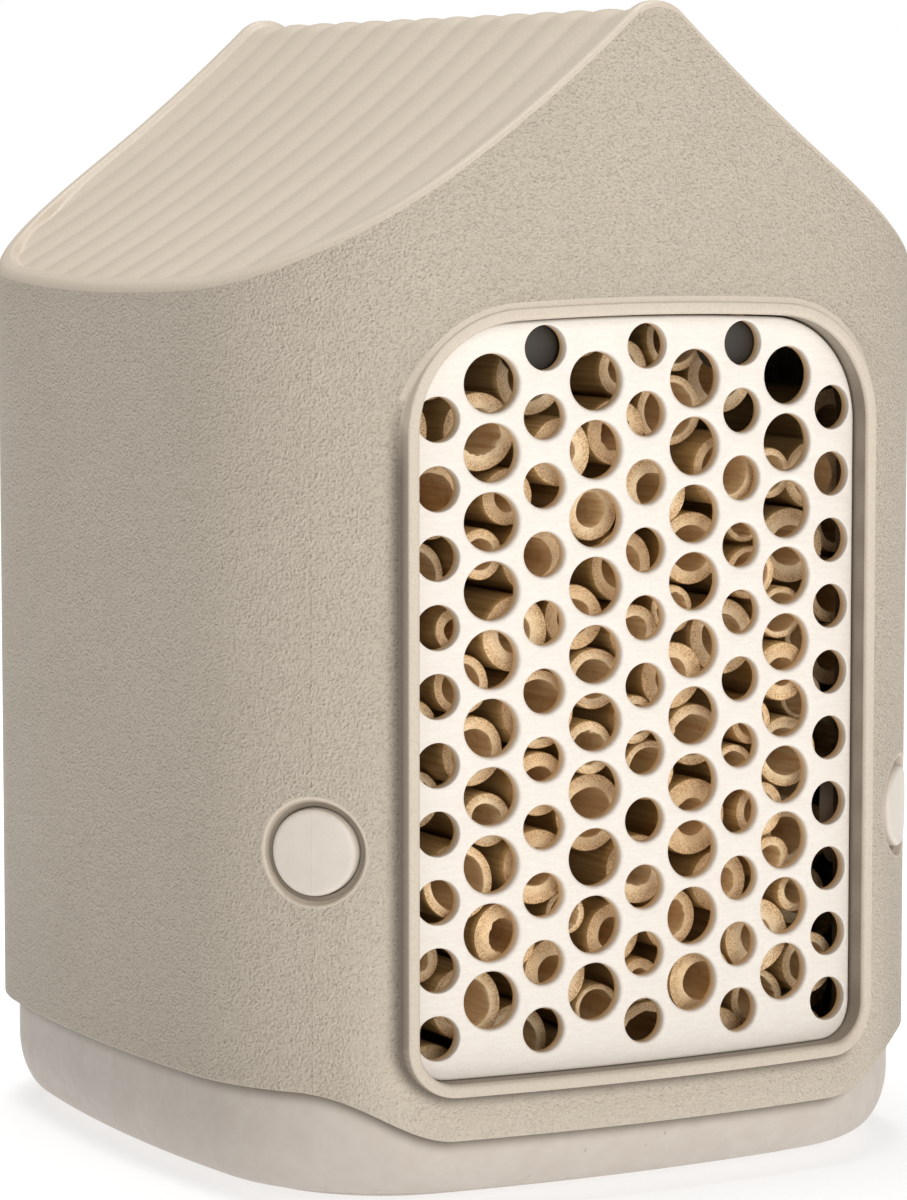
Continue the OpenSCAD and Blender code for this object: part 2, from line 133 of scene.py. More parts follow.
# Base tray
TRAY_IN = 3.0
TRAY_ROUND_W = 7.2
TRAY_ROUND_H = 12.5
TRAY_T = 2.4
TRAY_TOP = 32.0
FOOT_H = 1.7
FOOT_IN = 14.8
FOOT_W = 6.0
FLOOR_TOP = FOOT_H + 3
NOTCH_HALF = WIN_HALF + FLANGE_W + 1
NOTCH_Z = WIN_LOW - FLANGE_W - 0.9
ARM_HALF = 7.0
ARM_T = 3.6

# Keyhole in the back gable
KEY_Z = 188.0
KEY_R = 5.0
SLOT_R = 2.3
SLOT_UP = 9.0

# ---------------------------------------------------------------- derived sizes
CROWN_SIN = math.sin(CROWN_TURN)
CROWN_DROP = 1 - math.cos(CROWN_TURN)
flat_w = HALF_W - CORNER_R * (1 - CROWN_DROP - CROWN_SIN)
flat_d = HALF_D - CORNER_R * (1 - CROWN_DROP - CROWN_SIN)
FRONT_R = (flat_w * CROWN_SIN - flat_d * CROWN_DROP) / (CROWN_SIN**2 - CROWN_DROP**2)
SIDE_R = (flat_d * CROWN_SIN - flat_w * CROWN_DROP) / (CROWN_SIN**2 - CROWN_DROP**2)
CORNER_X = (FRONT_R - CORNER_R) * CROWN_SIN
CORNER_Y = HALF_D - FRONT_R + (FRONT_R - CORNER_R) * math.cos(CROWN_TURN)
FRONT_RUN = FRONT_R * CROWN_TURN
CORNER_RUN = CORNER_R * (math.pi / 2 - 2 * CROWN_TURN)
QUARTER = FRONT_RUN + CORNER_RUN + SIDE_R * CROWN_TURN
BUTTON_S = FRONT_RUN + CORNER_RUN / 2
SLOPE_R = HALF_W / (math.sin(SLOPE_TOP) - math.sin(SLOPE_EAVE))
SLOPE_X = SLOPE_R * math.sin(SLOPE_TOP)
RIDGE_TURN = math.asin(SLOPE_X / (SLOPE_R + RIDGE_R))
RIDGE_Z = BODY_H - RIDGE_R
SLOPE_Z = RIDGE_Z + (SLOPE_R + RIDGE_R) * math.cos(RIDGE_TURN)
RIB_R = (RIB_W**2 / 4 + RIB_RISE**2) / (2 * RIB_RISE)

# Runs round the walls from the middle of the left side, and the faint seams of the mould
RUNS = np.linspace(-QUARTER, 3 * QUARTER, 641)
RING = RUNS[:-1]
SEAM_PROUD = 0.05
SEAM_W = 0.22
MOULD_SEAMS = (BUTTON_S, 2 * QUARTER - BUTTON_S, 2 * QUARTER + BUTTON_S, -BUTTON_S)

# Share of X and of Y in the direction of a button's axis
DIAGONAL = math.sqrt(0.5)

# Sides of the round parts
BUTTON_SIDES = 72
CUP_SIDES = 48
TUBE_SIDES = 56

# Angles round a quarter circle, for rounded edges
FINE_ROUND = np.radians(np.arange(0, 91, 15))
COARSE_ROUND = np.radians(np.arange(0, 91, 22.5))


# ---------------------------------------------------------------- shape functions
def quarter_xy(run, inset):
    """Plan of one quarter, at a run along the wall from the middle of the front."""
    parts = [run <= FRONT_RUN, run <= FRONT_RUN + CORNER_RUN]
    on_front, on_corner = run / FRONT_R, CROWN_TURN + (run - FRONT_RUN) / CORNER_R
    on_side = math.pi / 2 - CROWN_TURN + (run - FRONT_RUN - CORNER_RUN) / SIDE_R
    turn = np.select(parts, [on_front, on_corner], on_side)
    radius = np.select(parts, [FRONT_R, CORNER_R], SIDE_R) - inset
    x = np.select(parts, [0.0, CORNER_X], HALF_W - SIDE_R) + radius * np.sin(turn)
    y = np.select(parts, [HALF_D - FRONT_R, CORNER_Y], 0.0) + radius * np.cos(turn)
    return x, y


def plan(run, inset=0.0):
    """Point of the plan at a run from the middle of the front, moved inwards by inset."""
    run = np.mod(np.asarray(run, float), 4 * QUARTER)
    part = np.floor(run / QUARTER)
    folded = np.where(part % 2 == 0, run - part * QUARTER, (part + 1) * QUARTER - run)
    x, y = quarter_xy(folded, inset)
    x = np.where(part < 2, x, -x)
    y = np.where((part == 0) | (part == 3), -y, y)
    return x, y


def level(run, inset, z):
    """Points of the plan at runs, moved inwards by inset, at one height or one each."""
    x, y = plan(run, inset)
    return np.stack([x, y, np.broadcast_to(z, x.shape)], 1)


def run_of_x(x, inset=0.0):
    """Run along the front wall at which the plan, moved inwards by inset, has this x."""
    ax = np.abs(np.asarray(x, float))
    front = FRONT_R * np.arcsin(np.clip(ax / (FRONT_R - inset), 0, 1))
    corner = np.arcsin(np.clip((ax - CORNER_X) / (CORNER_R - inset), -1, 1))
    at_corner = FRONT_RUN + (corner - CROWN_TURN) * CORNER_R
    return np.sign(x) * np.where(ax <= (FRONT_R - inset) * CROWN_SIN, front, at_corner)


def unrolled(points, inset=0.0, behind=False):
    """Points in X and Z as (run, z) on the unrolled front wall, or on the back wall."""
    run = run_of_x(points[:, 0], inset)
    return np.stack([2 * QUARTER - run if behind else run, points[:, 1]], 1)


def half_width(y, inset):
    """Half of the plan's width at y, moved inwards by inset."""
    ay = np.abs(y)
    side = HALF_W - SIDE_R + np.sqrt((SIDE_R - inset) ** 2 - ay**2)
    corner = CORNER_X + np.sqrt(np.clip((CORNER_R - inset) ** 2 - (ay - CORNER_Y) ** 2, 0, None))
    front = np.sqrt(np.clip((FRONT_R - inset) ** 2 - (ay - HALF_D + FRONT_R) ** 2, 0, None))
    by_corner = ay <= CORNER_Y + (CORNER_R - inset) * math.cos(CROWN_TURN)
    return np.where(ay <= (SIDE_R - inset) * CROWN_SIN, side, np.where(by_corner, corner, front))


def roof_z(x, inset=0.0):
    """Height of the roof at x, moved inwards by inset."""
    ax = np.abs(x)
    ridge_r = RIDGE_R - inset
    slope_r = SLOPE_R + inset
    ridge = RIDGE_Z + np.sqrt(np.clip(ridge_r**2 - ax**2, 0, None))
    slope = SLOPE_Z - np.sqrt(slope_r**2 - (SLOPE_X - ax) ** 2)
    return np.where(ax <= ridge_r * math.sin(RIDGE_TURN), ridge, slope)


def roof_steepness(x):
    """Vertical drop that moves the roof's surface inwards by one."""
    ax = np.abs(x)
    ridge = RIDGE_R / np.sqrt(np.clip(RIDGE_R**2 - ax**2, 1, None))
    slope = SLOPE_R / np.sqrt(SLOPE_R**2 - (SLOPE_X - ax) ** 2)
    return np.where(ax <= RIDGE_R * math.sin(RIDGE_TURN), ridge, slope)


def smooth(low, high, value):
    """0 below low, 1 above high, and a soft S between them."""
    t = np.clip((value - low) / (high - low), 0, 1)
    return t * t * (3 - 2 * t)


def rib_depth(y):
    """Depth of the ribbed field below the rib crests: scallops that meet in soft valleys."""
    off = y - RIB_W * (np.floor(y / RIB_W) + 0.5)
    scallop = RIB_R - np.sqrt(RIB_R**2 - off**2)
    return scallop - 0.16 * np.exp(-(((RIB_W / 2 - np.abs(off)) / 0.45) ** 2))


def field_z(x, y, inset):
    """Height of the roof's surface, with the step down from the rim and the ribs."""
    step = smooth(RIM_W - 0.9, RIM_W + 0.9, inset)
    return roof_z(x) - step * (FIELD_DROP + rib_depth(y)) * roof_steepness(x)


def apron_z(run):
    """Height of the shell's lower edge."""
    x, y = plan(run)
    t = np.clip((np.abs(x) - APRON_HALF) / (APRON_OUT - APRON_HALF), 0, 1)
    front = APRON_Z + (SKIRT_Z - APRON_Z) * (1 - np.cos(math.pi * t)) / 2
    return np.where(y < 0, front, SKIRT_Z)


def crown_y(x, back=0.0):
    """Y of the crowned surface through the front wall, at a depth behind it."""
    return -(HALF_D - FRONT_R + np.sqrt((FRONT_R - back) ** 2 - np.asarray(x) ** 2))


def crowned(points, back):
    """Points in X and Z put on the crowned surface at a depth behind the front wall."""
    return np.stack([points[:, 0], crown_y(points[:, 0], back), points[:, 1]], 1)


def plan_depth(x, inset=0.0):
    """Half of the plan's depth at x."""
    ax = np.abs(x)
    corner = CORNER_Y + np.sqrt(np.clip((CORNER_R - inset) ** 2 - (ax - CORNER_X) ** 2, 0, None))
    return np.where(ax <= (FRONT_R - inset) * CROWN_SIN, -crown_y(ax, inset), corner)


def full_turn(count):
    """Angles of even steps once round."""
    return np.arange(count) / count * 2 * math.pi


# ---------------------------------------------------------------- outlines
def arc(centre, radius, start, end, steps):
    """Points and outward directions along an arc, without its last point."""
    turn = np.radians(np.linspace(start, end, steps + 1)[:-1])
    out = np.stack([np.cos(turn), np.sin(turn)], 1)
    return np.array(centre) + radius * out, out


def line(start, end, out, step):
    """Points and outward directions along a straight stretch, without its last point."""
    start, end = np.array(start, float), np.array(end, float)
    count = max(1, round(np.linalg.norm(end - start) / step))
    t = np.arange(count)[:, None] / count
    return start + t * (end - start), np.tile(np.array(out, float), (count, 1))


def joined(parts):
    """Points and outward directions of a path, from those of its parts."""
    return tuple(np.concatenate(same) for same in zip(*parts))


def window_path():
    """Points and outward directions round the window, counter-clockwise from the front."""
    arch_r = (WIN_HALF - WIN_R_TOP) / math.sin(ARCH_TURN) + WIN_R_TOP
    arch_z = WIN_TOP - arch_r
    top_z = arch_z + (arch_r - WIN_R_TOP) * math.cos(ARCH_TURN)
    low_x, low_z = WIN_HALF - WIN_R_LOW, WIN_LOW + WIN_R_LOW
    top_x = WIN_HALF - WIN_R_TOP
    arch = math.degrees(ARCH_TURN)
    parts = [
        line((-low_x, WIN_LOW), (low_x, WIN_LOW), (0, -1), 3),
        arc((low_x, low_z), WIN_R_LOW, -90, 0, 12),
        line((WIN_HALF, low_z), (WIN_HALF, top_z), (1, 0), 4),
        arc((top_x, top_z), WIN_R_TOP, 0, 90 - arch, 22),
        arc((0, arch_z), arch_r, 90 - arch, 90 + arch, 18),
        arc((-top_x, top_z), WIN_R_TOP, 90 + arch, 180, 22),
        line((-WIN_HALF, top_z), (-WIN_HALF, low_z), (-1, 0), 4),
        arc((-low_x, low_z), WIN_R_LOW, 180, 270, 12),
    ]
    return joined(parts)


def keyhole_path():
    """Points and outward directions round the keyhole, in X and Z."""
    side = math.degrees(math.acos(SLOT_R / KEY_R))
    neck_z = KEY_Z + KEY_R * math.sin(math.radians(side))
    slot_z = KEY_Z + SLOT_UP
    parts = [
        arc((0, KEY_Z), KEY_R, 180 - side, 360 + side, 40),
        line((SLOT_R, neck_z), (SLOT_R, slot_z), (1, 0), 1.2),
        arc((0, slot_z), SLOT_R, 0, 180, 18),
        line((-SLOT_R, slot_z), (-SLOT_R, neck_z), (-1, 0), 1.2),
    ]
    return joined(parts)


def inside(points, loop):
    """Which points lie inside a closed outline."""
    x, y = points[:, 0], points[:, 1]
    found = np.zeros(len(points), bool)
    for (x0, y0), (x1, y1) in zip(loop, np.roll(loop, -1, 0)):
        if y0 == y1:
            continue
        crosses = (y0 > y) != (y1 > y)
        found ^= crosses & (x < (x1 - x0) * (y - y0) / (y1 - y0) + x0)
    return found


def fill(outline, holes, spots):
    """Triangles between an outline and its holes, through spots, as (points, faces)."""
    loops = [outline, *holes]
    points, edges, first = [], [], 0
    for loop in loops:
        count = len(loop)
        points.extend(Vector(p) for p in loop)
        edges.extend((first + i, first + (i + 1) % count) for i in range(count))
        first += count
    points.extend(Vector(p) for p in spots)
    made = delaunay_2d_cdt(points, edges, [], 0, 1e-5, False)
    flat = np.array([tuple(v) for v in made[0]])
    faces = np.array([tuple(f) for f in made[2]])
    middle = flat[faces].mean(1)
    keep = inside(middle, np.array(outline))
    for hole in holes:
        keep &= ~inside(middle, np.array(hole))
    return flat, faces[keep]


# ---------------------------------------------------------------- mesh building
class Build:
    """Collects points and faces in millimetres and turns them into one piece."""

    def __init__(self):
        self.points, self.faces, self.slots, self.count = [], [], [], 0
        self.marks = {}

    def add(self, points, faces, slot=0):
        points = np.asarray(points, float)
        self.points.append(points)
        self.faces.extend(tuple(int(i) + self.count for i in f) for f in faces)
        self.slots.extend([slot] * len(faces))
        self.count += len(points)

    def rings(self, rings, slot=0, capped=False, slots=None):
        """Strips of quads between closed rings with equally many points, capped at both ends or open."""
        rings = np.asarray(rings, float)
        rows, across = rings.shape[:2]
        slots = slots or [slot] * (rows - 1)
        first = self.count
        self.add(rings.reshape(-1, 3), [])
        for i in range(rows - 1):
            a, b = first + i * across, first + (i + 1) * across
            for j in range(across):
                k = (j + 1) % across
                self.faces.append((a + j, a + k, b + k, b + j))
                self.slots.append(slots[i])
        if capped:
            self.faces.append(tuple(range(first + across - 1, first - 1, -1)))
            self.faces.append(tuple(range(self.count - across, self.count)))
            self.slots += [slots[0], slots[-1]]

    def mark(self, name, values):
        """Values of a named point attribute, in the order in which points were added."""
        self.marks.setdefault(name, []).append(np.asarray(values, float).ravel())

    def piece(self, name, materials, body, slot, nodes, weld=True, sharp=35):
        points = np.concatenate(self.points) * MM
        mesh = bpy.data.meshes.new(name)
        mesh.from_pydata(points.tolist(), [], self.faces)
        mesh.polygons.foreach_set("material_index", self.slots)
        for key, values in self.marks.items():
            data = np.concatenate(values)
            mesh.attributes.new(key, "FLOAT", "POINT").data.foreach_set("value", data)
        work = bmesh.new()
        work.from_mesh(mesh)
        if weld:
            bmesh.ops.remove_doubles(work, verts=work.verts, dist=WELD * MM)
            bmesh.ops.dissolve_degenerate(work, edges=work.edges, dist=WELD * MM)
        bmesh.ops.recalc_face_normals(work, faces=work.faces)
        work.to_mesh(mesh)
        work.free()
        for material in materials:
            mesh.materials.append(material)
        mesh.shade_smooth()
        mesh.set_sharp_from_angle(angle=math.radians(sharp))
        piece = placed(name, mesh)
        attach(piece, body)
        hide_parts(*nodes)
        return piece


def placed(name, data):
    """A new object of the scene that holds this data."""
    made = bpy.data.objects.new(name, data)
    bpy.context.scene.collection.objects.link(made)
    return made


# ---------------------------------------------------------------- materials
def shader(name, roughness, **sockets):
    """A new material with its tree, its Principled shader and object coordinates."""
    material = bpy.data.materials.new(name)
    material.use_nodes = True
    tree = material.node_tree
    bsdf = next(n for n in tree.nodes if n.type == "BSDF_PRINCIPLED")
    bsdf.inputs["Roughness"].default_value = roughness
    for key, value in sockets.items():
        bsdf.inputs[key.replace("_", " ").title()].default_value = value
    coords = tree.nodes.new("ShaderNodeTexCoord").outputs["Object"]
    return material, tree, bsdf, coords


def plug(tree, socket, value):
    """Links an input to a socket, or sets it to a value."""
    if isinstance(value, bpy.types.NodeSocket):
        tree.links.new(value, socket)
    else:
        socket.default_value = value


def node(tree, kind, settings=None, **inputs):
    """A shader node with its inputs set or linked, by socket name with _ for a space."""
    made = tree.nodes.new("ShaderNode" + kind)
    for key, value in (settings or {}).items():
        setattr(made, key, value)
    for key, value in inputs.items():
        name = key.replace("_", " ")
        socket = next(s for s in made.inputs if s.name.lower() == name.lower() and s.enabled)
        plug(tree, socket, value)
    return made


def math_node(tree, operation, *values):
    """A Math node over numbers and sockets."""
    made = tree.nodes.new("ShaderNodeMath")
    made.operation = operation
    for socket, value in zip(made.inputs, values):
        plug(tree, socket, value)
    return made.outputs[0]


def axes(tree, coords):
    """X, Y and Z of coordinates."""
    return node(tree, "SeparateXYZ", Vector=coords).outputs


def stretched(tree, coords, scale, turn=(0, 0, 0)):
    """Coordinates scaled by a vector, in repeats a metre."""
    return node(tree, "Mapping", Vector=coords, Scale=scale, Rotation=turn).outputs[0]


def noise(tree, coords, scale, detail=2.0, roughness=0.5, distortion=0.0):
    return node(
        tree, "TexNoise", Vector=coords, Scale=scale, Detail=detail, Roughness=roughness,
        Distortion=distortion,
    ).outputs[0]


def spread(tree, value, low, high, to_low=0.0, to_high=1.0):
    """A value stretched from one range to another, with soft ends."""
    made = node(
        tree, "MapRange", {"interpolation_type": "SMOOTHSTEP"}, Value=value, From_Min=low,
        From_Max=high, To_Min=to_low, To_Max=to_high,
    )
    return made.outputs[0]


def mix(tree, factor, first, second):
    """A colour between two, each a colour in linear light or a socket."""
    made = tree.nodes.new("ShaderNodeMix")
    made.data_type = "RGBA"
    plug(tree, made.inputs[0], factor)
    for socket, value in ((made.inputs[6], first), (made.inputs[7], second)):
        plug(tree, socket, (*value, 1.0) if isinstance(value, tuple) else value)
    return made.outputs[2]


def bump(tree, bsdf, height, depth_mm, strength=1.0):
    """Bump of that depth in millimetres, added to any bump the shader already has."""
    made = node(tree, "Bump", Height=height, Distance=depth_mm * MM, Strength=strength)
    normal = bsdf.inputs["Normal"]
    if normal.is_linked:
        tree.links.new(normal.links[0].from_socket, made.inputs["Normal"])
    tree.links.new(made.outputs[0], normal)


def linear(red, green, blue):
    """A colour in linear light from screen values of 0 to 255."""
    return tuple(
        c / 12.92 if c <= 0.04045 else ((c + 0.055) / 1.055) ** 2.4
        for c in (red / 255, green / 255, blue / 255)
    )


def cloudy(tree, value, first, second):
    """A colour that drifts between two screen colours as a noise drifts."""
    return mix(tree, spread(tree, value, 0.3, 0.7), linear(*first), linear(*second))


def coat(tree, bsdf, shade, rough):
    """Gives a shader its colour and its roughness."""
    tree.links.new(shade, bsdf.inputs["Base Color"])
    tree.links.new(rough, bsdf.inputs["Roughness"])


def seam_height(tree, coords, half_mm):
    """1 on the mould seam up the middle of an upright corner, and 0 away from it."""
    parts = axes(tree, coords)
    x, y = (math_node(tree, "ABSOLUTE", part) for part in parts[:2])
    off = math_node(tree, "SUBTRACT", x, y)
    off = math_node(tree, "SUBTRACT", off, (CORNER_X - CORNER_Y) * MM)
    off = math_node(tree, "ABSOLUTE", off)
    return spread(tree, off, 0.0, half_mm * MM, 1.0, 0.0)


def painted_frame_shade(tree, coords):
    """Painted shade along the foot of the window frame, on its left and below, where the frame's side and
    groove fall into shade.
    """
    x, y, z = axes(tree, coords)
    inner = (WIN_HALF - WIN_R_LOW) * MM
    wide = math_node(tree, "SUBTRACT", math_node(tree, "ABSOLUTE", x), inner)
    low = math_node(tree, "SUBTRACT", (WIN_LOW + WIN_R_LOW) * MM, z)
    square = math_node(tree, "POWER", math_node(tree, "MAXIMUM", wide, 0.0), 2.0)
    other = math_node(tree, "POWER", math_node(tree, "MAXIMUM", low, 0.0), 2.0)
    off = math_node(tree, "SQRT", math_node(tree, "ADD", square, other))
    edge = (WIN_R_LOW + FRAME_W) * MM
    dark = math_node(
        tree, "MULTIPLY", spread(tree, off, edge - 0.1 * MM, edge + 0.1 * MM),
        spread(tree, off, edge, edge + 2.9 * MM, 0.78, 0.0),
    )
    for value, start, end in ((x, 46.0, 51.0), (y, -30.0, -20.0), (z, 138.0, 156.0)):
        dark = math_node(tree, "MULTIPLY", dark, spread(tree, value, start * MM, end * MM, 1.0, 0.0))
    return dark


def grained_plastic():
    """Matt moulded plastic with a fine leather grain, on the shell's walls."""
    material, tree, bsdf, coords = shader("shell_grain", 0.6)
    bent = noise(tree, coords, 800.0, 2.0)
    cells = node(
        tree, "TexVoronoi", {"feature": "SMOOTH_F1"}, Vector=coords, Scale=2100.0, Smoothness=0.5
    ).outputs["Distance"]
    wrinkle = noise(tree, coords, 1700.0, 2.0, 0.6)
    height = math_node(tree, "MULTIPLY_ADD", cells, 0.35, wrinkle)
    height = math_node(tree, "MULTIPLY_ADD", bent, 0.2, height)
    cloud = noise(tree, coords, 22.0, 3.0, 0.6)
    base = cloudy(tree, cloud, (187, 176, 160), (191, 180, 164))
    shade = mix(tree, spread(tree, height, 0.52, 0.82), linear(174, 162, 146), base)
    # Painted light: the front wall is painted lighter towards its bottom, standing in for light from
    # below.
    _, y, z = axes(tree, coords)
    painted_low_light = math_node(
        tree, "MULTIPLY", spread(tree, y, -80 * MM, -72 * MM, 1.0, 0.0),
        spread(tree, z, 15 * MM, 100 * MM, 0.8, 0.0),
    )
    shade = mix(tree, painted_low_light, shade, linear(208, 196, 180))
    # Painted shade along the window frame's foot.
    shade = mix(tree, painted_frame_shade(tree, coords), shade, linear(78, 66, 52))
    coat(tree, bsdf, shade, spread(tree, height, 0.5, 0.9, 0.66, 0.5))
    bump(tree, bsdf, height, 0.6, 1.0)
    bump(tree, bsdf, seam_height(tree, coords, 0.3), 0.06, 0.8)
    return material


def satin_plastic(name, light):
    """The same plastic with a much finer texture, on the roof, its rim and the frame."""
    material, tree, bsdf, coords = shader(name, 0.55)
    fine = noise(tree, coords, 2300.0, 2.0, 0.6)
    cloud = noise(tree, coords, 18.0, 3.0, 0.6)
    base = cloudy(tree, cloud, (201, 189, 173), (205, 193, 177))
    shade = mix(tree, spread(tree, fine, 0.3, 0.6), linear(194, 182, 166), base)
    # Painted shade: a light share below 1 darkens this copy of the plastic, used on the frame's inner
    # walls and the recess floors.
    shade = mix(tree, light, linear(70, 58, 44), shade)
    # Painted shade along the window frame's foot.
    shade = mix(tree, painted_frame_shade(tree, coords), shade, linear(78, 66, 52))
    coat(tree, bsdf, shade, spread(tree, fine, 0.3, 0.7, 0.6, 0.5))
    bump(tree, bsdf, fine, 0.05, 0.6)
    return material


def flecked_plastic():
    """Smooth light plastic with sparse tiny dark fibres, on the base tray."""
    material, tree, bsdf, coords = shader("tray_flecked", 0.5)
    bent = noise(tree, coords, 160.0, 1.0)
    pulled = stretched(tree, coords, (260.0, 260.0, 150.0), (0.3, 0.5, 0.2))
    flecks = node(tree, "TexVoronoi", Vector=pulled, Scale=1.0, Randomness=1.0)
    chance = node(tree, "SeparateColor", Color=flecks.outputs["Color"]).outputs[0]
    spot = spread(tree, flecks.outputs["Distance"], 0.04, 0.1, 1.0, 0.0)
    spot = math_node(tree, "MULTIPLY", spot, spread(tree, chance, 0.72, 0.9))
    mottle = noise(tree, coords, 420.0, 3.0, 0.6)
    base = cloudy(tree, bent, (195, 185, 175), (199, 190, 180))
    base = mix(tree, spread(tree, mottle, 0.35, 0.65, 0.0, 0.3), base, linear(190, 178, 167))
    shade = mix(tree, math_node(tree, "MULTIPLY", spot, 0.7), base, linear(112, 98, 82))
    # Painted shadow: the tray darkens just under the shell's lower edge, where the edge's overhang shades
    # it.
    x, y, z = axes(tree, coords)
    aside = math_node(tree, "ABSOLUTE", x)
    apron = spread(tree, aside, APRON_HALF * MM, 66.0 * MM, (SKIRT_Z - APRON_Z) * MM, 0.0)
    apron = math_node(tree, "MULTIPLY", apron, spread(tree, y, -0.03, 0.0, 1.0, 0.0))
    under = math_node(tree, "SUBTRACT", math_node(tree, "SUBTRACT", SKIRT_Z * MM, apron), z)
    painted_shadow = spread(tree, under, -0.4 * MM, 3.4 * MM, 0.85, 0.0)
    shade = mix(tree, painted_shadow, shade, linear(84, 68, 52))
    coat(tree, bsdf, shade, spread(tree, mottle, 0.3, 0.7, 0.44, 0.54))
    bump(tree, bsdf, mottle, 0.03, 0.4)
    return material


def grille_plastic():
    """Off-white plastic with a faint level grain, on the grille."""
    material, tree, bsdf, coords = shader("grille_white", 0.48)
    streak = noise(tree, stretched(tree, coords, (260.0, 260.0, 2200.0)), 1.0, 3.0, 0.6)
    speckle = noise(tree, coords, 1700.0, 2.0)
    base = cloudy(tree, streak, (227, 219, 210), (233, 226, 217))
    base = mix(tree, spread(tree, speckle, 0.3, 0.5, 0.35, 0.0), base, linear(218, 209, 198))
    # Painted light and shade in the holes: the hole walls turn warm tan with depth, standing in for light
    # bounced off the bamboo and for the shade deeper in.
    x, y, _ = axes(tree, coords)
    crown = math_node(tree, "MULTIPLY", math_node(tree, "POWER", x, 2.0), -0.5 / (FRONT_R * MM))
    depth = math_node(tree, "ADD", math_node(tree, "ADD", y, HALF_D * MM), crown)
    painted_bounce_shade = spread(tree, depth, (GRILLE_BACK + 0.4) * MM, (GRILLE_BACK + 2.3) * MM, 0.0, 0.9)
    shade = mix(tree, painted_bounce_shade, base, linear(222, 182, 124))
    back = GRILLE_BACK + GRILLE_T
    # Painted shade: everything behind the plate's back turns dark.
    behind = spread(tree, depth, (back + 0.1) * MM, (back + 0.5) * MM)
    shade = mix(tree, behind, shade, linear(52, 40, 28))
    coat(tree, bsdf, shade, spread(tree, streak, 0.3, 0.7, 0.42, 0.54))
    bump(tree, bsdf, streak, 0.04, 0.45)
    bump(tree, bsdf, speckle, 0.03, 0.4)
    return material


def button_plastic():
    """Smooth off-white plastic of the buttons, with a faint seam up the middle."""
    material, tree, bsdf, coords = shader("button_white", 0.45)
    cloud = noise(tree, coords, 130.0, 3.0, 0.6)
    fine = noise(tree, coords, 2600.0, 2.0)
    base = cloudy(tree, cloud, (208, 199, 188), (214, 205, 194))
    shade = mix(tree, spread(tree, fine, 0.3, 0.5, 0.3, 0.0), base, linear(200, 190, 179))
    coat(tree, bsdf, shade, spread(tree, fine, 0.3, 0.7, 0.5, 0.4))
    bump(tree, bsdf, fine, 0.02, 0.4)
    bump(tree, bsdf, seam_height(tree, coords, 0.3), 0.05, 0.7)
    return material


def dark_plastic():
    """Dark brown plastic of the two plugs."""
    material, tree, bsdf, coords = shader("peg_dark", 0.6)
    fine = noise(tree, coords, 1500.0, 3.0, 0.6)
    shade = cloudy(tree, fine, (40, 35, 29), (50, 44, 37))
    coat(tree, bsdf, shade, spread(tree, fine, 0.3, 0.7, 0.5, 0.7))
    bump(tree, bsdf, fine, 0.05, 0.5)
    return material


def spring_steel():
    """Drawn steel wire with fine lengthwise marks."""
    material, tree, bsdf, coords = shader("spring_steel", 0.32, metallic=1.0)
    marks = noise(tree, coords, 2400.0, 3.0, 0.65)
    shade = cloudy(tree, marks, (150, 150, 152), (190, 190, 190))
    coat(tree, bsdf, shade, spread(tree, marks, 0.3, 0.7, 0.25, 0.45))
    bump(tree, bsdf, marks, 0.01, 0.4)
    return material


def attribute(tree, name):
    return node(tree, "Attribute", {"attribute_name": name}).outputs["Fac"]


def bamboo_cut():
    """Sawn end of a tube: pale fibre full of small dark pores, closer near the skin."""
    material, tree, bsdf, coords = shader("bamboo_cut", 0.72)
    ring, tint = attribute(tree, "ring"), attribute(tree, "tint")
    cells = stretched(tree, coords, (3300.0, 700.0, 3300.0))
    pores = node(tree, "TexVoronoi", Vector=cells, Scale=1.0).outputs["Distance"]
    reach = spread(tree, ring, 0.0, 0.9, 0.24, 0.46)
    pore = spread(tree, math_node(tree, "SUBTRACT", reach, pores), -0.06, 0.12)
    pale = mix(tree, tint, linear(252, 232, 194), linear(244, 214, 170))
    deep = mix(tree, spread(tree, ring, 0.0, 1.0, 0.0, 0.7), pale, linear(236, 200, 152))
    cloud = noise(tree, coords, 420.0, 3.0, 0.6)
    deep = mix(tree, spread(tree, cloud, 0.35, 0.75, 0.0, 0.5), deep, linear(216, 178, 130))
    shade = mix(tree, math_node(tree, "MULTIPLY", pore, 0.62), deep, linear(164, 122, 78))
    coat(tree, bsdf, shade, spread(tree, pore, 0.0, 1.0, 0.66, 0.85))
    bump(tree, bsdf, math_node(tree, "SUBTRACT", 1.0, pore), 0.12, 0.7)
    bump(tree, bsdf, noise(tree, coords, 1600.0, 3.0, 0.6), 0.08, 0.6)
    return material


def bamboo_bore():
    """Inside of a tube: pale tan, silky, streaked along its length."""
    material, tree, bsdf, coords = shader("bamboo_bore", 0.38)
    tint = attribute(tree, "tint")
    streak = noise(tree, stretched(tree, coords, (900.0, 40.0, 900.0)), 1.0, 4.0, 0.65, 0.4)
    patch = noise(tree, coords, 260.0, 3.0, 0.6)
    base = mix(tree, tint, linear(252, 233, 194), linear(246, 216, 168))
    base = mix(tree, spread(tree, streak, 0.35, 0.7), base, linear(228, 192, 144))
    shade = mix(tree, spread(tree, patch, 0.5, 0.75, 0.0, 0.5), base, linear(198, 158, 108))
    coat(tree, bsdf, shade, spread(tree, streak, 0.3, 0.7, 0.3, 0.5))
    bump(tree, bsdf, streak, 0.12, 0.6)
    return material


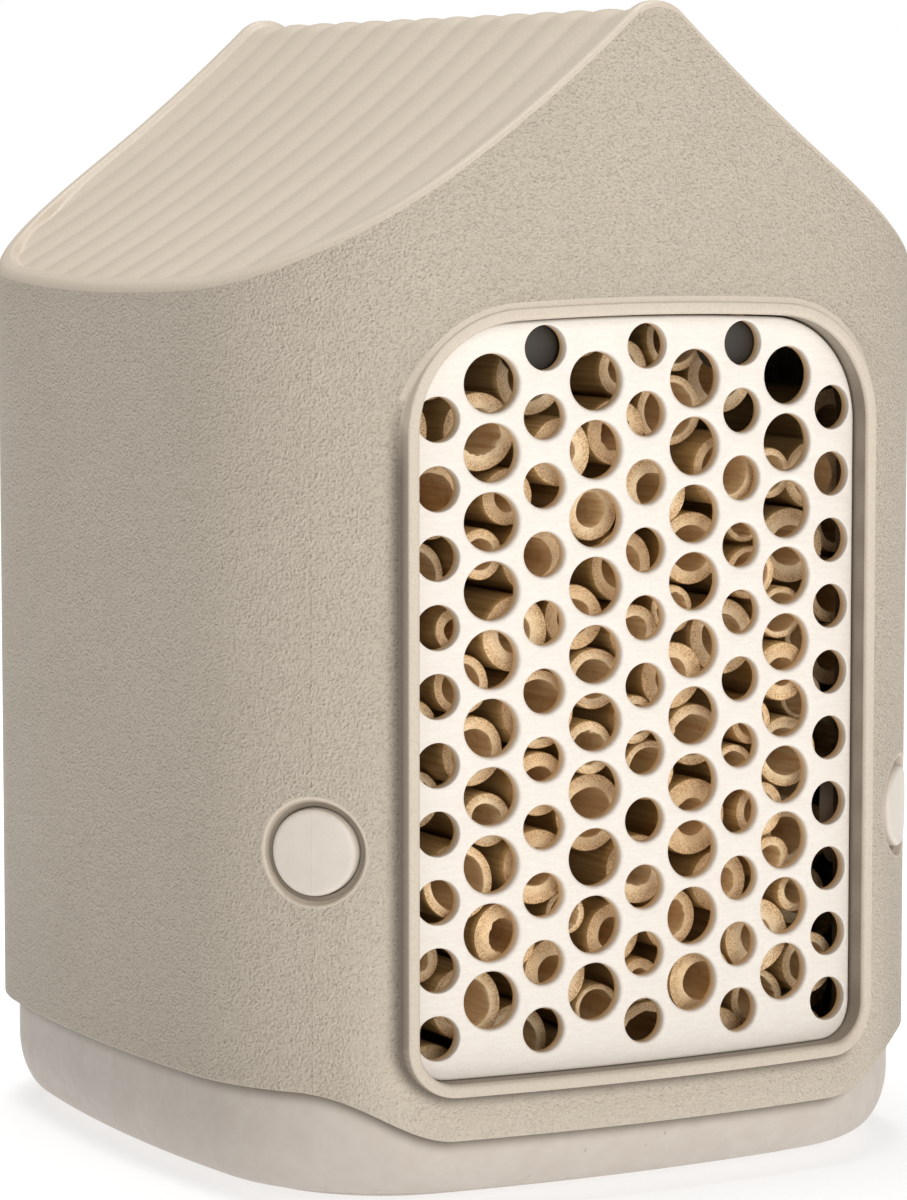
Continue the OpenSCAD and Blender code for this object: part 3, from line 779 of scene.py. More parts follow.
def bamboo_skin():
    """Outside of a tube: tan, with fine lengthwise fibre and darker patches."""
    material, tree, bsdf, coords = shader("bamboo_skin", 0.42)
    tint = attribute(tree, "tint")
    fibre = noise(tree, stretched(tree, coords, (1500.0, 25.0, 1500.0)), 1.0, 4.0, 0.6)
    patch = noise(tree, stretched(tree, coords, (90.0, 30.0, 90.0)), 1.0, 3.0, 0.6)
    base = mix(tree, tint, linear(206, 174, 122), linear(184, 152, 98))
    base = mix(tree, spread(tree, fibre, 0.35, 0.7), base, linear(168, 134, 84))
    shade = mix(tree, spread(tree, patch, 0.45, 0.8, 0.0, 0.6), base, linear(138, 108, 64))
    coat(tree, bsdf, shade, spread(tree, fibre, 0.3, 0.7, 0.35, 0.52))
    bump(tree, bsdf, fibre, 0.06, 0.5)
    return material


# ---------------------------------------------------------------- outer shell
GRAIN, SATIN, PAINTED_SHADE = 0, 1, 2


def wall_point(run, z):
    """Points of the wall in space, with the faint mould seams on the upright corners."""
    seam = sum(SEAM_PROUD * np.exp(-(((run - at) / SEAM_W) ** 2)) for at in MOULD_SEAMS)
    return level(run, -seam, z)


def fill_wall(top, holes, end_steps, drop, run_step, z_step, gap):
    """Unrolled wall up to its top, through spots that clear its holes, as (points, faces)."""
    low, high = apron_z(RUNS) + 0.6, top(RUNS)
    end_z = np.linspace(low[0], high[0], end_steps)[1:-1]
    left, right = (np.stack([np.full(end_steps - 2, RUNS[i]), end_z], 1) for i in (0, -1))
    outline = np.concatenate([
        np.stack([RUNS, low], 1), right, np.stack([RUNS, high], 1)[::-1], left[::-1],
    ])
    runs = np.arange(-QUARTER + run_step, 3 * QUARTER - run_step / 2, run_step)
    runs = runs[np.min(np.abs(runs[:, None] - np.array(MOULD_SEAMS)), 1) > 1.2]
    by_seam = np.array([-0.6, -0.3, 0.0, 0.3, 0.6])
    runs = np.concatenate([runs, *(seam + by_seam for seam in MOULD_SEAMS)])
    spots = np.array([
        (s, z) for s in runs
        for z in np.arange(float(apron_z(s)) - drop + z_step, float(top(s)) - 2.0, z_step)
    ])
    return fill(outline, holes, clear_of(spots, holes, gap))


def button_loop(side, radius, inset):
    """Ring round a button's axis on the wall, as (run, z), for the unrolled wall."""
    turn = full_turn(BUTTON_SIDES)
    across, up = radius * np.cos(turn), radius * np.sin(turn)
    run = side * BUTTON_S + CORNER_R * np.arcsin(across / (CORNER_R - inset))
    return np.stack([run, BUTTON_Z + up], 1)


def on_button_axis(side, along, across, up):
    """Point at distances along, across and above a button's axis."""
    x = side * (CORNER_X + DIAGONAL * along) + DIAGONAL * across
    y = -CORNER_Y - DIAGONAL * along + side * DIAGONAL * across
    return np.stack([x, y, BUTTON_Z + up], -1)


def button_rings(side, rows, count=BUTTON_SIDES):
    """Rings round a button's axis from (radius, place): place maps across to along."""
    turn = full_turn(count)
    made = []
    for radius, place in rows:
        across, up = radius * np.cos(turn), radius * np.sin(turn)
        made.append(on_button_axis(side, place(across), across, up))
    return np.array(made)


def on_arc(radius, depth=0.0):
    """Place on an upright cylinder round the corner's centre, a depth below its surface."""
    return lambda across: np.sqrt(radius**2 - across**2) - depth


def flat_at(along):
    """Place on a flat face across the axis."""
    return lambda across: np.full_like(across, along)


def frame_rings(path):
    """Rings of the raised window frame, from its back edge inside to the wall outside."""
    flat, out = path
    lip, edge = 0.9, 0.4
    rows = [(0.0, -FRAME_DEPTH), (0.0, -5.0), (0.0, -2.5)]
    rows += [(lip - lip * math.cos(a), FRAME_PROUD - lip + lip * math.sin(a))
             for a in COARSE_ROUND]
    rows += [(FRAME_W - edge + edge * math.sin(a), FRAME_PROUD - edge + edge * math.cos(a))
             for a in COARSE_ROUND]
    above = smooth(0.05, 0.75, out[:, 1])
    rise = FRAME_RISE * (1 - above) * (1 - smooth(0.2, 0.8, out[:, 0]))
    made = []
    for grow, proud in rows:
        p = flat + grow * out
        y = crown_y(p[:, 0], -proud) - (rise if proud > 0 else 0.0)
        made.append(np.stack([p[:, 0], y, p[:, 1]], 1))
    skirt = 5.0 - 1.2 * above
    start = made[-1]
    for t, side, share in ((0.01, 0.8, 0.0), (0.025, 1.0, 0.3), (0.06, 1.0, 0.6), (0.11, 1.0, 0.8),
                           (0.18, 1.0, 0.94), (0.28, 1.0, 1.0), (0.44, 1.0, 0.87),
                           (0.64, 1.0, 0.5), (0.84, 1.0, 0.13), (1.0, 1.0, 0.0)):
        p = flat + (FRAME_W + t * skirt)[:, None] * out
        base = -plan_depth(p[:, 0])
        soft = base - (base - start[:, 1]) * (1 - t) ** 2.5
        deep = start[:, 1] + side * (base - start[:, 1]) + FOOT_GROOVE * share
        made.append(np.stack([p[:, 0], above * soft + (1 - above) * deep, p[:, 1]], 1))
    return np.array(made), flat + (FRAME_W + skirt)[:, None] * out


def outer_shell(materials):
    """Walls, roof, window frame, recesses and keyhole as one moulding, with its inside."""
    build = Build()
    window, keyhole = window_path(), keyhole_path()
    frame_ring, frame_edge = frame_rings(window)
    recess_r = RECESS_R + 0.5

    # Wall, unrolled
    holes = [unrolled(frame_edge), *(button_loop(side, recess_r, 0.0) for side in (-1, 1)),
             unrolled(keyhole[0] + 0.6 * keyhole[1], behind=True)]
    flat, faces = fill_wall(
        lambda s: roof_z(plan(s)[0]) - EDGE_R, holes,
        end_steps=24, drop=3.5, run_step=2.0, z_step=5.5, gap=1.1,
    )
    build.add(wall_point(flat[:, 0], flat[:, 1]), faces, GRAIN)

    # Rounded edge, rim, step and the start of the ribbed field
    rows = [(EDGE_R * (1 - math.cos(a)), EDGE_R * (1 - math.sin(a))) for a in FINE_ROUND]
    rows += [(n, 0.0) for n in (1.9, 2.4, 2.7, 2.95, 3.2, 3.4, 3.6, 3.85, 4.1, 4.4, 5.0, FIELD_IN)]
    rings = []
    for inset, drop in rows:
        x, y = plan(RING, inset)
        rings.append(np.stack([x, y, field_z(x, y, inset) - drop], 1))
    build.rings(rings, SATIN)
    build.add(*ribbed_field(), SATIN)

    # Lower edge, from the outside round to the inside
    rows = [(0.6, 0.0), (0.3, 0.06), (0.1, 0.22), (0.0, 0.5), (0.0, WALL - 0.5),
            (0.1, WALL - 0.22), (0.3, WALL - 0.06), (0.6, WALL)]
    build.rings([level(RING, inset, apron_z(RING) + rise) for rise, inset in rows], GRAIN)

    # Window frame, satin on its foot above the window, and its return inside the wall
    # The three strips inside the window take the painted-shade copy of the plastic.
    strips = [PAINTED_SHADE] * 3 + [SATIN] * 12 + [GRAIN] * 7
    foot = strips.index(GRAIN)
    first, across = len(build.slots), frame_ring.shape[1]
    build.rings(frame_ring, slots=strips)
    for row in range(foot, foot + 3):
        for column in np.flatnonzero(window[1][:, 1] > 0.3):
            build.slots[first + row * across + column] = SATIN
    back = window[0] + FRAME_W * window[1]
    inner_face = np.stack([back[:, 0], -plan_depth(back[:, 0], WALL), back[:, 1]], 1)
    build.rings([frame_ring[0], crowned(back, FRAME_DEPTH), inner_face], SATIN)

    # Button recesses
    rows = [(recess_r, 0.0), (RECESS_R + 0.25, 0.02), (RECESS_R, 0.12), (RECESS_R - 0.2, 0.4),
            (RECESS_R - 0.35, 0.9), (RECESS_R - 0.6, RECESS_DEEP),
            (HOLE_R + 0.25, RECESS_DEEP + 0.25), (HOLE_R, RECESS_DEEP + 0.6)]
    rings = [(r, on_arc(CORNER_R, d)) for r, d in rows] + [(HOLE_R, on_arc(CORNER_R - WALL))]
    for side in (-1, 1):
        # The recess floor and its inner wall take the painted-shade copy of the plastic.
        build.rings(button_rings(side, rings), slots=[SATIN] * 5 + [PAINTED_SHADE] * 3)

    # Keyhole
    rings = []
    for grow, depth in ((0.6, 0.0), (0.25, 0.08), (0.06, 0.3), (0.0, 0.6), (0.0, WALL)):
        p = keyhole[0] + grow * keyhole[1]
        rings.append(np.stack([p[:, 0], plan_depth(p[:, 0], depth), p[:, 1]], 1))
    build.rings(rings, GRAIN)

    # Inside of the walls and of the roof
    holes = [unrolled(back, WALL), *(button_loop(side, HOLE_R, WALL) for side in (-1, 1)),
             unrolled(keyhole[0], WALL, True)]
    flat, faces = fill_wall(
        lambda s: roof_z(plan(s, WALL)[0], ROOF_IN), holes,
        end_steps=12, drop=0.0, run_step=4.0, z_step=16.0, gap=1.5,
    )
    build.add(level(flat[:, 0], WALL, flat[:, 1]), faces, GRAIN)
    build.add(*ceiling(), GRAIN)
    return build.piece(
        "shell", materials, "hotel", "shell_plastic", ["outer_shell"], sharp=50
    )


def clear_of(spots, holes, gap):
    """The spots that are outside every hole by a gap."""
    keep = np.ones(len(spots), bool)
    for hole in holes:
        keep &= ~inside(spots, hole)
        near = np.full(len(spots), np.inf)
        for point in hole:
            near = np.minimum(near, np.hypot(spots[:, 0] - point[0], spots[:, 1] - point[1]))
        keep &= near > gap
    return spots[keep]


def fill_roof(inset, ridge_x, slope_x, ys, gaps, height):
    """Roof inside an inset outline, through a grid of spots, as (points, faces).

    The grid is closer over the rounded ridge than down the slopes.
    """
    gx, gy = np.meshgrid(np.concatenate([ridge_x, slope_x, -slope_x]), ys)
    gx, gy = gx.ravel(), gy.ravel()
    keep = np.abs(gx) < half_width(gy, inset) - gaps[0]
    keep &= np.abs(gy) < plan_depth(gx, inset) - gaps[1]
    flat, faces = fill(np.stack(plan(RING, inset), 1), [], np.stack([gx[keep], gy[keep]], 1))
    return np.stack([flat[:, 0], flat[:, 1], height(flat[:, 0], flat[:, 1])], 1), faces


def ribbed_field():
    """Ribbed field inside the rim, as (points, faces)."""
    steps = 14
    count = int(HALF_D / RIB_W * steps)
    ys = np.arange(-count, count + 1) * RIB_W / steps
    return fill_roof(
        FIELD_IN, np.arange(-7.7, 7.71, 0.7), np.arange(11, HALF_W, 3.2),
        ys[np.abs(ys) < HALF_D - FIELD_IN - 0.5], (0.7, 0.4),
        lambda x, y: field_z(x, y, FIELD_IN),
    )


def ceiling():
    """Inside of the roof, as (points, faces)."""
    return fill_roof(
        WALL, np.arange(-3.2, 3.21, 0.8), np.arange(6, HALF_W, 5), np.linspace(-70, 70, 9),
        (2, 2), lambda x, y: roof_z(x, ROOF_IN),
    )


# ---------------------------------------------------------------- base tray
def base_tray(material):
    """Dish with a foot ring, a notch for the window, and the cups of the two buttons."""
    build = Build()
    ring = np.linspace(0, 4 * QUARTER, 481)[:-1]
    x, y = plan(ring)
    in_notch = 1 - smooth(NOTCH_HALF - 0.4, NOTCH_HALF + 0.4, np.abs(plan(ring, TRAY_IN)[0]))
    top = np.where(y < -CORNER_Y, TRAY_TOP - in_notch * (TRAY_TOP - NOTCH_Z), TRAY_TOP)
    inner = FOOT_IN + FOOT_W
    rows = [(inner, FOOT_H - 0.2), (inner, 0.5), (inner - 0.15, 0.15), (inner - 0.5, 0.0),
            (FOOT_IN + 0.5, 0.0), (FOOT_IN + 0.15, 0.15), (FOOT_IN, 0.5), (FOOT_IN, FOOT_H - 0.3),
            (FOOT_IN - 0.3, FOOT_H), (TRAY_IN + TRAY_ROUND_W + 1.5, FOOT_H)]
    rows += [(TRAY_IN + TRAY_ROUND_W * (1 - math.sin(a)), FOOT_H + TRAY_ROUND_H * (1 - math.cos(a)))
             for a in np.radians(np.linspace(0, 90, 19))]
    rim_in, rim_out = TRAY_IN + TRAY_T, TRAY_IN
    rows += [(rim_out, top - 0.4), (rim_out + 0.12, top - 0.12), (rim_out + 0.4, top),
             (rim_in - 0.4, top), (rim_in - 0.12, top - 0.12), (rim_in, top - 0.4)]
    ledge_in = TRAY_IN + TRAY_ROUND_W + TRAY_T - 1.5
    ledge_z = FOOT_H + TRAY_ROUND_H
    rows += [(rim_in, ledge_z), (ledge_in, ledge_z), (ledge_in, FLOOR_TOP)]
    build.rings([level(ring, inset, z) for inset, z in rows], capped=True)
    for side in (-1, 1):
        button_cup(build, side)
        button_arm(build, side)
    return build.piece("tray", [material], "hotel", "base_plastic", ["base_tray"], sharp=50)


def button_cup(build, side):
    """Cup that holds a button's spring, round the button's axis."""
    outer, mouth, floor = CUP_R + CUP_T, CUP_MOUTH_AT, CUP_FLOOR_AT
    rows = [(0.01, floor), (outer - 0.8, floor), (outer - 0.2, floor + 0.2), (outer, floor + 0.8),
            (outer, mouth - 0.4), (outer - 0.4, mouth), (CUP_R + 0.4, mouth), (CUP_R, mouth - 0.4),
            (CUP_R, floor + CUP_FLOOR_T + 0.6), (CUP_R - 0.6, floor + CUP_FLOOR_T),
            (0.01, floor + CUP_FLOOR_T)]
    rings = button_rings(side, [(r, flat_at(a)) for r, a in rows], CUP_SIDES)
    build.rings(rings, capped=True)


def button_arm(build, side):
    """Upright arm from the tray's floor to the cup, with rounded edges."""
    low, high = FOOT_H + TRAY_ROUND_H - 2 - BUTTON_Z, -CUP_R - 1.0
    rounding = 0.8
    corners = []
    for sign_a, sign_b, start in ((1, 1, 0), (-1, 1, 90), (-1, -1, 180), (1, -1, 270)):
        for turn in np.radians(start + np.arange(0, 91, 30)):
            corners.append((
                CUP_MOUTH_AT - ARM_T / 2 + sign_a * (ARM_T / 2 - rounding) + rounding * math.cos(turn),
                sign_b * (ARM_HALF - rounding) + rounding * math.sin(turn),
            ))
    corners = np.array(corners)
    rings = [
        on_button_axis(side, corners[:, 0], corners[:, 1], np.full(len(corners), up))
        for up in (low, low + 20, high)
    ]
    build.rings(rings, capped=True)


# ---------------------------------------------------------------- front grille
def grille_holes():
    """Centre and radius of every hole of the grille."""
    large_top = FIELD_Z + 4.5 * HOLE_PITCH
    columns = [(c, 10, large_top, LARGE_R) for c in (-3, -1, 1, 3)]
    columns += [(c, 11, large_top + HOLE_PITCH / 2, SMALL_R) for c in (-2, 0, 2)]
    columns += [(c, 10, large_top - HOLE_PITCH / 2, SMALL_R) for c in (-4, 4)]
    return [
        (c * COL_PITCH, top - i * HOLE_PITCH, radius)
        for c, count, top, radius in columns
        for i in range(count)
    ]


def circle_path(x, z, count):
    """Centre of a circle and the outward directions round it."""
    turn = full_turn(count)
    return np.array([x, z]), np.stack([np.cos(turn), np.sin(turn)], 1)


def grille_rim(build, flange):
    """Flange behind the window frame, and the rim's posts that carry it."""
    flat, out = window_path()
    outer, inner = -GRILLE_GAP, -GRILLE_GAP - RIM_T
    build.rings([
        crowned(flat + np.broadcast_to(wide, len(flat))[:, None] * out, depth)
        for wide, depth in ((outer, SEAT_AT), (flange, SEAT_AT), (flange, SEAT_END),
                            (outer, SEAT_END), (outer, SEAT_AT))
    ])
    holes = np.array(grille_holes())
    cut = np.where(np.abs(holes[:, 0]) > OUTER_COLUMN, RIM_CUT_R, holes[:, 2] + 0.3)
    fine, fine_out = refined(flat, out, 0.8)
    away = (fine + inner * fine_out)[:, None] - holes[None, :, :2]
    solid = np.all(np.hypot(away[..., 0], away[..., 1]) > cut, 1) & ~by_cup(fine)
    post_at = GRILLE_BACK + 1.5
    for start in np.flatnonzero(solid & ~np.roll(solid, 1)):
        run = []
        while solid[(start + len(run)) % len(fine)] and len(run) < len(fine):
            run.append((start + len(run)) % len(fine))
        if len(run) < 2:
            continue
        corners = [
            crowned(fine[run] + wide * fine_out[run], depth)
            for wide, depth in ((outer, post_at), (outer, SEAT_END), (inner, SEAT_END),
                                (inner, post_at))
        ]
        build.rings(np.array(corners).transpose(1, 0, 2), capped=True)


def by_cup(points):
    """Which points of the window's outline are beside a button's cup."""
    beside = np.abs(points[:, 1] - BUTTON_Z) <= CUP_R + CUP_T + 2
    return beside & (np.abs(points[:, 0]) >= WIN_HALF - 4.5)


def refined(flat, out, step):
    """A closed path with points added so that none are further apart than a step."""
    points, outs = [], []
    for i in range(len(flat)):
        j = (i + 1) % len(flat)
        count = max(1, math.ceil(np.linalg.norm(flat[j] - flat[i]) / step))
        for k in range(count):
            points.append(flat[i] + (flat[j] - flat[i]) * k / count)
            away = out[i] + (out[j] - out[i]) * k / count
            outs.append(away / np.linalg.norm(away))
    return np.array(points), np.array(outs)


def front_grille(material):
    """Crowned plate with its holes, the plugs' sockets, and the rim behind it."""
    build = Build()
    flat, out = window_path()
    holes = grille_holes()
    front, back = GRILLE_BACK, GRILLE_BACK + GRILLE_T
    edge = 0.6
    grow = -(0.06 + 0.3 * smooth(-0.8, -0.1, out[:, 1]))
    rows = [(grow - edge + edge * math.sin(a), front + edge - edge * math.cos(a))
            for a in FINE_ROUND]
    rows += [(grow, back - 0.3), (grow - 0.3, back)]
    build.rings([crowned(flat + wide[:, None] * out, depth) for wide, depth in rows])
    grille_rim(build, np.where(by_cup(flat), 0.2, FLANGE_W))
    front_loops, back_loops = [], []
    for x, z, radius in holes:
        centre, around = circle_path(x, z, HOLE_SIDES)
        by_edge = abs(x) > OUTER_COLUMN or z > TOP_ROW
        soft = 0.3 if by_edge else 0.7
        rows = [(radius + soft - soft * math.sin(a), front + soft - soft * math.cos(a))
                for a in COARSE_ROUND]
        rows += [(radius, back - 0.2), (radius + 0.2, back)]
        build.rings([crowned(centre + r * around, depth) for r, depth in rows])
        front_loops.append(centre + rows[0][0] * around)
        back_loops.append(centre + rows[-1][0] * around)
        if COL_PITCH < abs(x) < 2.5 * COL_PITCH and z > TOP_ROW:
            socket = [(SOCKET_R - 0.9, back - 0.5), (SOCKET_R - 0.9, SOCKET_END),
                      (SOCKET_R, SOCKET_END), (SOCKET_R, back - 0.5), (SOCKET_R - 0.9, back - 0.5)]
            build.rings([crowned(centre + r * around, depth) for r, depth in socket])
    gx, gz = (g.ravel() for g in np.meshgrid(np.arange(-48, 48.1, 3), np.arange(24, 170, 6)))
    grid = np.stack([gx, gz], 1)
    for depth, wide, loops in ((front, grow - edge, front_loops), (back, grow - 0.3, back_loops)):
        outline = flat + wide[:, None] * out
        spots = clear_of(grid[inside(grid, outline)], loops, 0.8)
        near = np.min(np.hypot(*(spots[:, None] - outline[None]).transpose(2, 0, 1)), 1)
        points, faces = fill(outline, loops, spots[near > 0.8])
        build.add(crowned(points, depth), faces)
    return build.piece(
        "grille", [material], "hotel", "grille_plastic", ["front_grille"], sharp=40
    )


def grille_peg(material, name, node_name):
    """Plug with a flange, turned about its own axis."""
    low, high = (np.array(p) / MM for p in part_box(node_name))
    centre, around = circle_path((low[0] + high[0]) / 2, (low[2] + high[2]) / 2, 48)
    body_r, flange_t = SOCKET_R - 0.95, 1.5
    rows = [(0.01, low[1]), (body_r - 0.5, low[1]), (body_r - 0.15, low[1] + 0.15),
            (body_r, low[1] + 0.5), (body_r, high[1] - flange_t), (SOCKET_R - 0.2, high[1] - flange_t),
            (SOCKET_R, high[1] - flange_t + 0.2), (SOCKET_R, high[1] - 0.3),
            (SOCKET_R - 0.3, high[1]), (0.01, high[1])]
    build = Build()
    rings = []
    for radius, y in rows:
        p = centre + radius * around
        rings.append(np.stack([p[:, 0], np.full(len(p), y), p[:, 1]], 1))
    build.rings(rings, capped=True)
    return build.piece(name, [material], "hotel", "dark_plastic", [node_name])


# ---------------------------------------------------------------- buttons and springs
def push_button(material, side, name, body, node_name):
    """Cap that follows the corner's curve, with a rounded rim, a skirt and a flange."""
    soft = 0.9
    rows = [(r, on_arc(FACE_AT)) for r in (0.01, 1.5, 3.0, 4.5, 6.0, 7.0)]
    rows += [(BUTTON_R - soft + soft * math.sin(a), on_arc(FACE_AT, soft * (1 - math.cos(a))))
             for a in FINE_ROUND]
    flange_top = FLANGE_AT + FLANGE_T
    bore_r = BUTTON_R - 1.5
    rows += [(r, flat_at(a)) for r, a in (
        (BUTTON_R, flange_top + 0.3), (BUTTON_R + 0.3, flange_top), (FLANGE_R - 0.3, flange_top),
        (FLANGE_R, flange_top - 0.3), (FLANGE_R, FLANGE_AT + 0.3), (FLANGE_R - 0.3, FLANGE_AT),
        (bore_r, FLANGE_AT), (bore_r, CORNER_R - CAP_T - 0.5), (bore_r - 0.5, CORNER_R - CAP_T),
        (0.01, CORNER_R - CAP_T))]
    build = Build()
    build.rings(button_rings(side, rows), capped=True)
    return build.piece(name, [material], body, "button_plastic", [node_name], sharp=50)


def coil_spring(material, side, name, node_name):
    """Compression spring in the cup, between the cup's floor and the button's cap."""
    length = CORNER_R - CAP_T - CUP_FLOOR_AT - CUP_FLOOR_T - 0.2 - 2 * WIRE_R
    start = CUP_FLOOR_AT + CUP_FLOOR_T + 0.1 + WIRE_R
    steps = 40 * COIL_TURNS
    around = full_turn(12)
    rings = []
    for i in range(steps + 1):
        turn = 2 * math.pi * COIL_TURNS * i / steps
        radius = COIL_R + WIRE_R * np.cos(around)
        along = start + length * i / steps + WIRE_R * np.sin(around)
        rings.append(on_button_axis(side, along, radius * math.cos(turn), radius * math.sin(turn)))
    build = Build()
    build.rings(rings, capped=True)
    piece = build.piece(name, [material], "hotel", "spring_steel", [node_name], weld=False)
    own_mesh(piece)
    return piece


# ---------------------------------------------------------------- bamboo tubes
def islands(node_name):
    """Separate solids of a CAD node, each as its points in millimetres."""
    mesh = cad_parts[node_name].data
    points = np.array([v.co for v in mesh.vertices]) / MM
    keys, index = np.unique(np.round(points, 2), axis=0, return_inverse=True)
    index = index.ravel()
    parent = np.arange(len(keys))

    def root(i):
        while parent[i] != i:
            parent[i] = parent[parent[i]]
            i = parent[i]
        return i

    for edge in mesh.edges:
        a, b = root(index[edge.vertices[0]]), root(index[edge.vertices[1]])
        parent[max(a, b)] = min(a, b)
    roots = np.array([root(i) for i in range(len(keys))])
    return [keys[roots == r] for r in np.unique(roots)]


def measured_tube(points):
    """Centre, radii and ends of a tube that lies along Y."""
    low, high = points.min(0), points.max(0)
    x, z = (low[0] + high[0]) / 2, (low[2] + high[2]) / 2
    away = np.hypot(points[:, 0] - x, points[:, 2] - z)
    return x, z, away.max(), away.min(), low[1], high[1]


CUT, BORE, SKIN = 0, 1, 2


def wavy(rng, turn, amounts):
    """A closed random wave round a tube, from its strongest slow waves to its weak fast ones."""
    total = np.zeros_like(turn)
    for i, amount in enumerate(amounts):
        total += amount * np.cos((i + 2) * turn + rng.uniform(0, 2 * math.pi))
    return total


def bamboo_tube(build, tube, rng):
    """One cut length of bamboo, with a pored end, a streaked bore and a node's swelling."""
    x, z, outer, bore, front, back = tube
    turn = full_turn(TUBE_SIDES)
    out = np.stack([np.cos(turn), np.sin(turn)], 1)
    lean = rng.uniform(-0.07, 0.07, 2)
    skin_wave = -0.08 + wavy(rng, turn, (0.06, 0.03, 0.02))
    ragged = rng.random() < 0.15
    bore_wave = wavy(rng, turn, (0.12, 0.07, 0.05, 0.04) if ragged else (0.09, 0.05, 0.02))
    rim_wave = wavy(rng, turn, [0.05] * 20) if ragged else wavy(rng, turn, [0.02] * 8)
    knot = min(front + rng.uniform(18, 60), back - 8)
    septum = min(front + rng.uniform(26, 80), back - 4)
    rows, slots, across_wall = [], [], []

    def row(slot, radius, y, ring=0.0):
        p = np.array([x, z]) + np.asarray(radius)[..., None] * out
        tilt = lean[0] * (p[:, 0] - x) + lean[1] * (p[:, 1] - z)
        nearness = np.exp(-(y - front) / 20.0)
        slant = (tilt + np.abs(lean).sum() * outer) * nearness
        rows.append(np.stack([p[:, 0], y + slant, p[:, 1]], 1))
        slots.append(slot)
        across_wall.append(ring)

    skin = outer + skin_wave
    for y, swell in ((back, -0.3), (back - 0.3, 0.0), (knot + 6, 0.0), (knot + 1.6, 0.0),
                     (knot + 0.6, 0.12), (knot, -0.12), (knot - 0.6, 0.1), (knot - 1.8, 0.0),
                     (front + 8, 0.0), (front + 2, 0.0), (front + 0.25, 0.0)):
        row(SKIN, skin + swell - 0.05, y, 1.0)
    row(CUT, skin - 0.22, front + 0.02, 1.0)
    hole = np.clip(bore + bore_wave, 0.5, None)
    wall = skin - 0.22 - hole
    bowl = rng.uniform(-0.05, 0.25)
    for share in (0.85, 0.65, 0.45, 0.25, 0.1):
        dip = bowl * 4 * share * (1 - share) + 0.05 * rng.random()
        row(CUT, hole + 0.12 + share * (wall - 0.12), front + dip, share)
    row(BORE, hole + 0.12 + rim_wave * 0.5, front + 0.1)
    row(BORE, hole + rim_wave, front + 0.4)
    for share in (0.03, 0.08, 0.18, 0.35, 0.6, 0.85, 1.0):
        y = front + 0.6 + share * (septum - front)
        settle = math.exp(-share * 12)
        row(BORE, hole + rim_wave * settle + bore_wave * (1 - settle) * 0.4, y)
    row(BORE, hole * 0.55, septum + 1.6)
    row(BORE, hole * 0.05, septum + 2.0)
    build.rings(rows, capped=True, slots=slots)
    build.mark("ring", np.repeat(across_wall, TUBE_SIDES))
    build.mark("tint", np.full(TUBE_SIDES * len(rows), rng.random()))


def bamboo_layer(materials, node_name):
    """One settled layer of tubes, from the CAD node of that name."""
    rng = np.random.default_rng(int(node_name[-2:]) + 40)
    build = Build()
    tubes = sorted((measured_tube(p) for p in islands(node_name)), key=lambda t: (t[1], t[0]))
    for tube in tubes:
        bamboo_tube(build, tube, rng)
    name = node_name.replace("bamboo_layer", "bamboo")
    return build.piece(name, materials, "hotel", "bamboo", [node_name], weld=False, sharp=42)


# ---------------------------------------------------------------- stage, lights, camera
AMBIENT = 0.13
FLOOR_HALF = 9.0
FLOOR_Z = -0.0002
MIDDLE = Vector((0.0, 0.0, 0.11))


def pale_floor():
    """Plain pale floor that runs far behind the object."""
    mesh = bpy.data.meshes.new("floor")
    corners = [(x * FLOOR_HALF, y * FLOOR_HALF, FLOOR_Z) for x, y in ((-1, -1), (1, -1), (1, 1), (-1, 1))]
    mesh.from_pydata(corners, [], [(0, 1, 2, 3)])
    material, tree, bsdf, coords = shader("floor_pale", 0.7)
    shade = mix(tree, noise(tree, coords, 6.0, 2.0), (0.4, 0.4, 0.4), (0.42, 0.42, 0.42))
    tree.links.new(shade, bsdf.inputs["Base Color"])
    away = node(tree, "VectorMath", {"operation": "LENGTH"}, Vector=coords).outputs["Value"]
    bsdf.inputs["Emission Color"].default_value = (1.0, 1.0, 1.0, 1.0)
    tree.links.new(spread(tree, away, 0.09, 0.4, 0.66, 1.0), bsdf.inputs["Emission Strength"])
    mesh.materials.append(material)
    placed("floor", mesh)


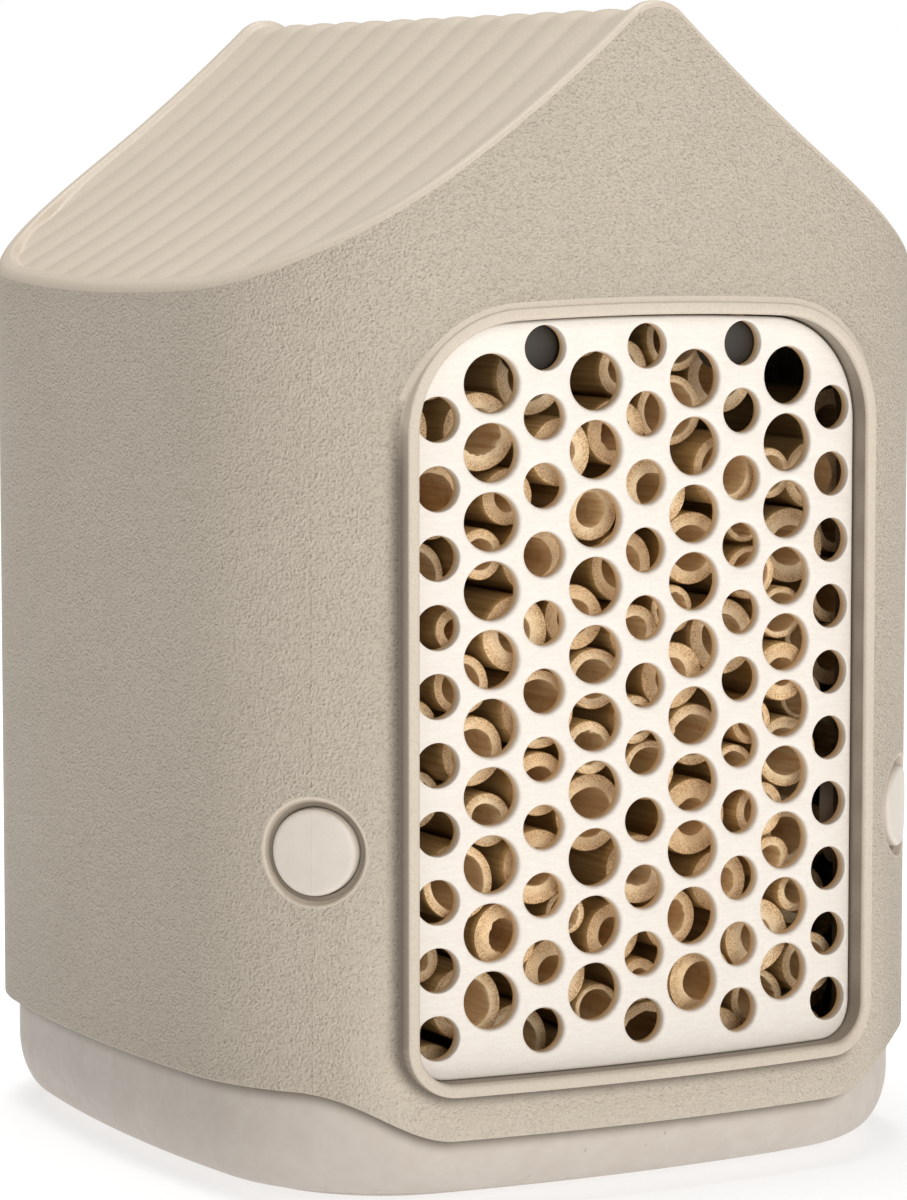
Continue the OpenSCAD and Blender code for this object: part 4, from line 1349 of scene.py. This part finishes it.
def area_light(name, place, size, power, colour=(1, 1, 1)):
    """Soft square light at a place, turned to the middle, in metres and watts."""
    data = bpy.data.lights.new(name, "AREA")
    data.size, data.energy, data.color = size, power, colour
    light = placed(name, data)
    light.location = place
    light.rotation_euler = (MIDDLE - Vector(place)).to_track_quat("-Z", "Y").to_euler()


def studio():
    """Two soft lights, a dim warm glow all round, and white behind the object."""
    area_light("key", (0.0, -1.95, 0.5), 1.5, 27.5, (1.0, 0.985, 0.965))
    area_light("top_fill", (-0.05, 0.25, 2.0), 1.0, 36.0)
    world = bpy.data.worlds.new("studio")
    world.use_nodes = True
    tree = world.node_tree
    glow = next(n for n in tree.nodes if n.type == "BACKGROUND")
    seen = tree.nodes.new("ShaderNodeLightPath").outputs["Is Camera Ray"]
    tree.links.new(mix(tree, seen, (1.0, 0.92, 0.82), (1.0, 1.0, 1.0)), glow.inputs["Color"])
    tree.links.new(spread(tree, seen, 0.0, 1.0, AMBIENT, 1.0), glow.inputs["Strength"])
    bpy.context.scene.world = world
    bpy.context.scene.view_settings.view_transform = "Standard"


def camera():
    """Long lens from the left of the front, a little above the middle."""
    data = bpy.data.cameras.new("camera")
    data.sensor_width = 36.0
    data.lens = 137.76
    data.clip_start, data.clip_end = 0.05, 50.0
    made = placed("camera", data)
    made.location = (-0.4474, -0.8310, 0.2009)
    aim = Vector((0.4734, 0.8753, -0.0992))
    made.rotation_euler = aim.to_track_quat("-Z", "Y").to_euler()
    bpy.context.scene.camera = made

camera()
studio()
pale_floor()
outer_shell([
    grained_plastic(), satin_plastic("shell_satin", 1.0), satin_plastic("shell_painted_shade", 0.46),
])
base_tray(flecked_plastic())
front_grille(grille_plastic())
peg_material = dark_plastic()
button_material = button_plastic()
steel = spring_steel()
for side, hand in ((-1, "left"), (1, "right")):
    grille_peg(peg_material, hand + "_plug", hand + "_grille_peg")
    push_button(button_material, side, hand + "_cap", hand + "_button", hand + "_button")
    coil_spring(steel, side, hand + "_coil", hand + "_button_spring")
bamboo = [bamboo_cut(), bamboo_bore(), bamboo_skin()]
for node_name in sorted(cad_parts):
    if node_name.startswith("bamboo_layer"):
        bamboo_layer(bamboo, node_name)
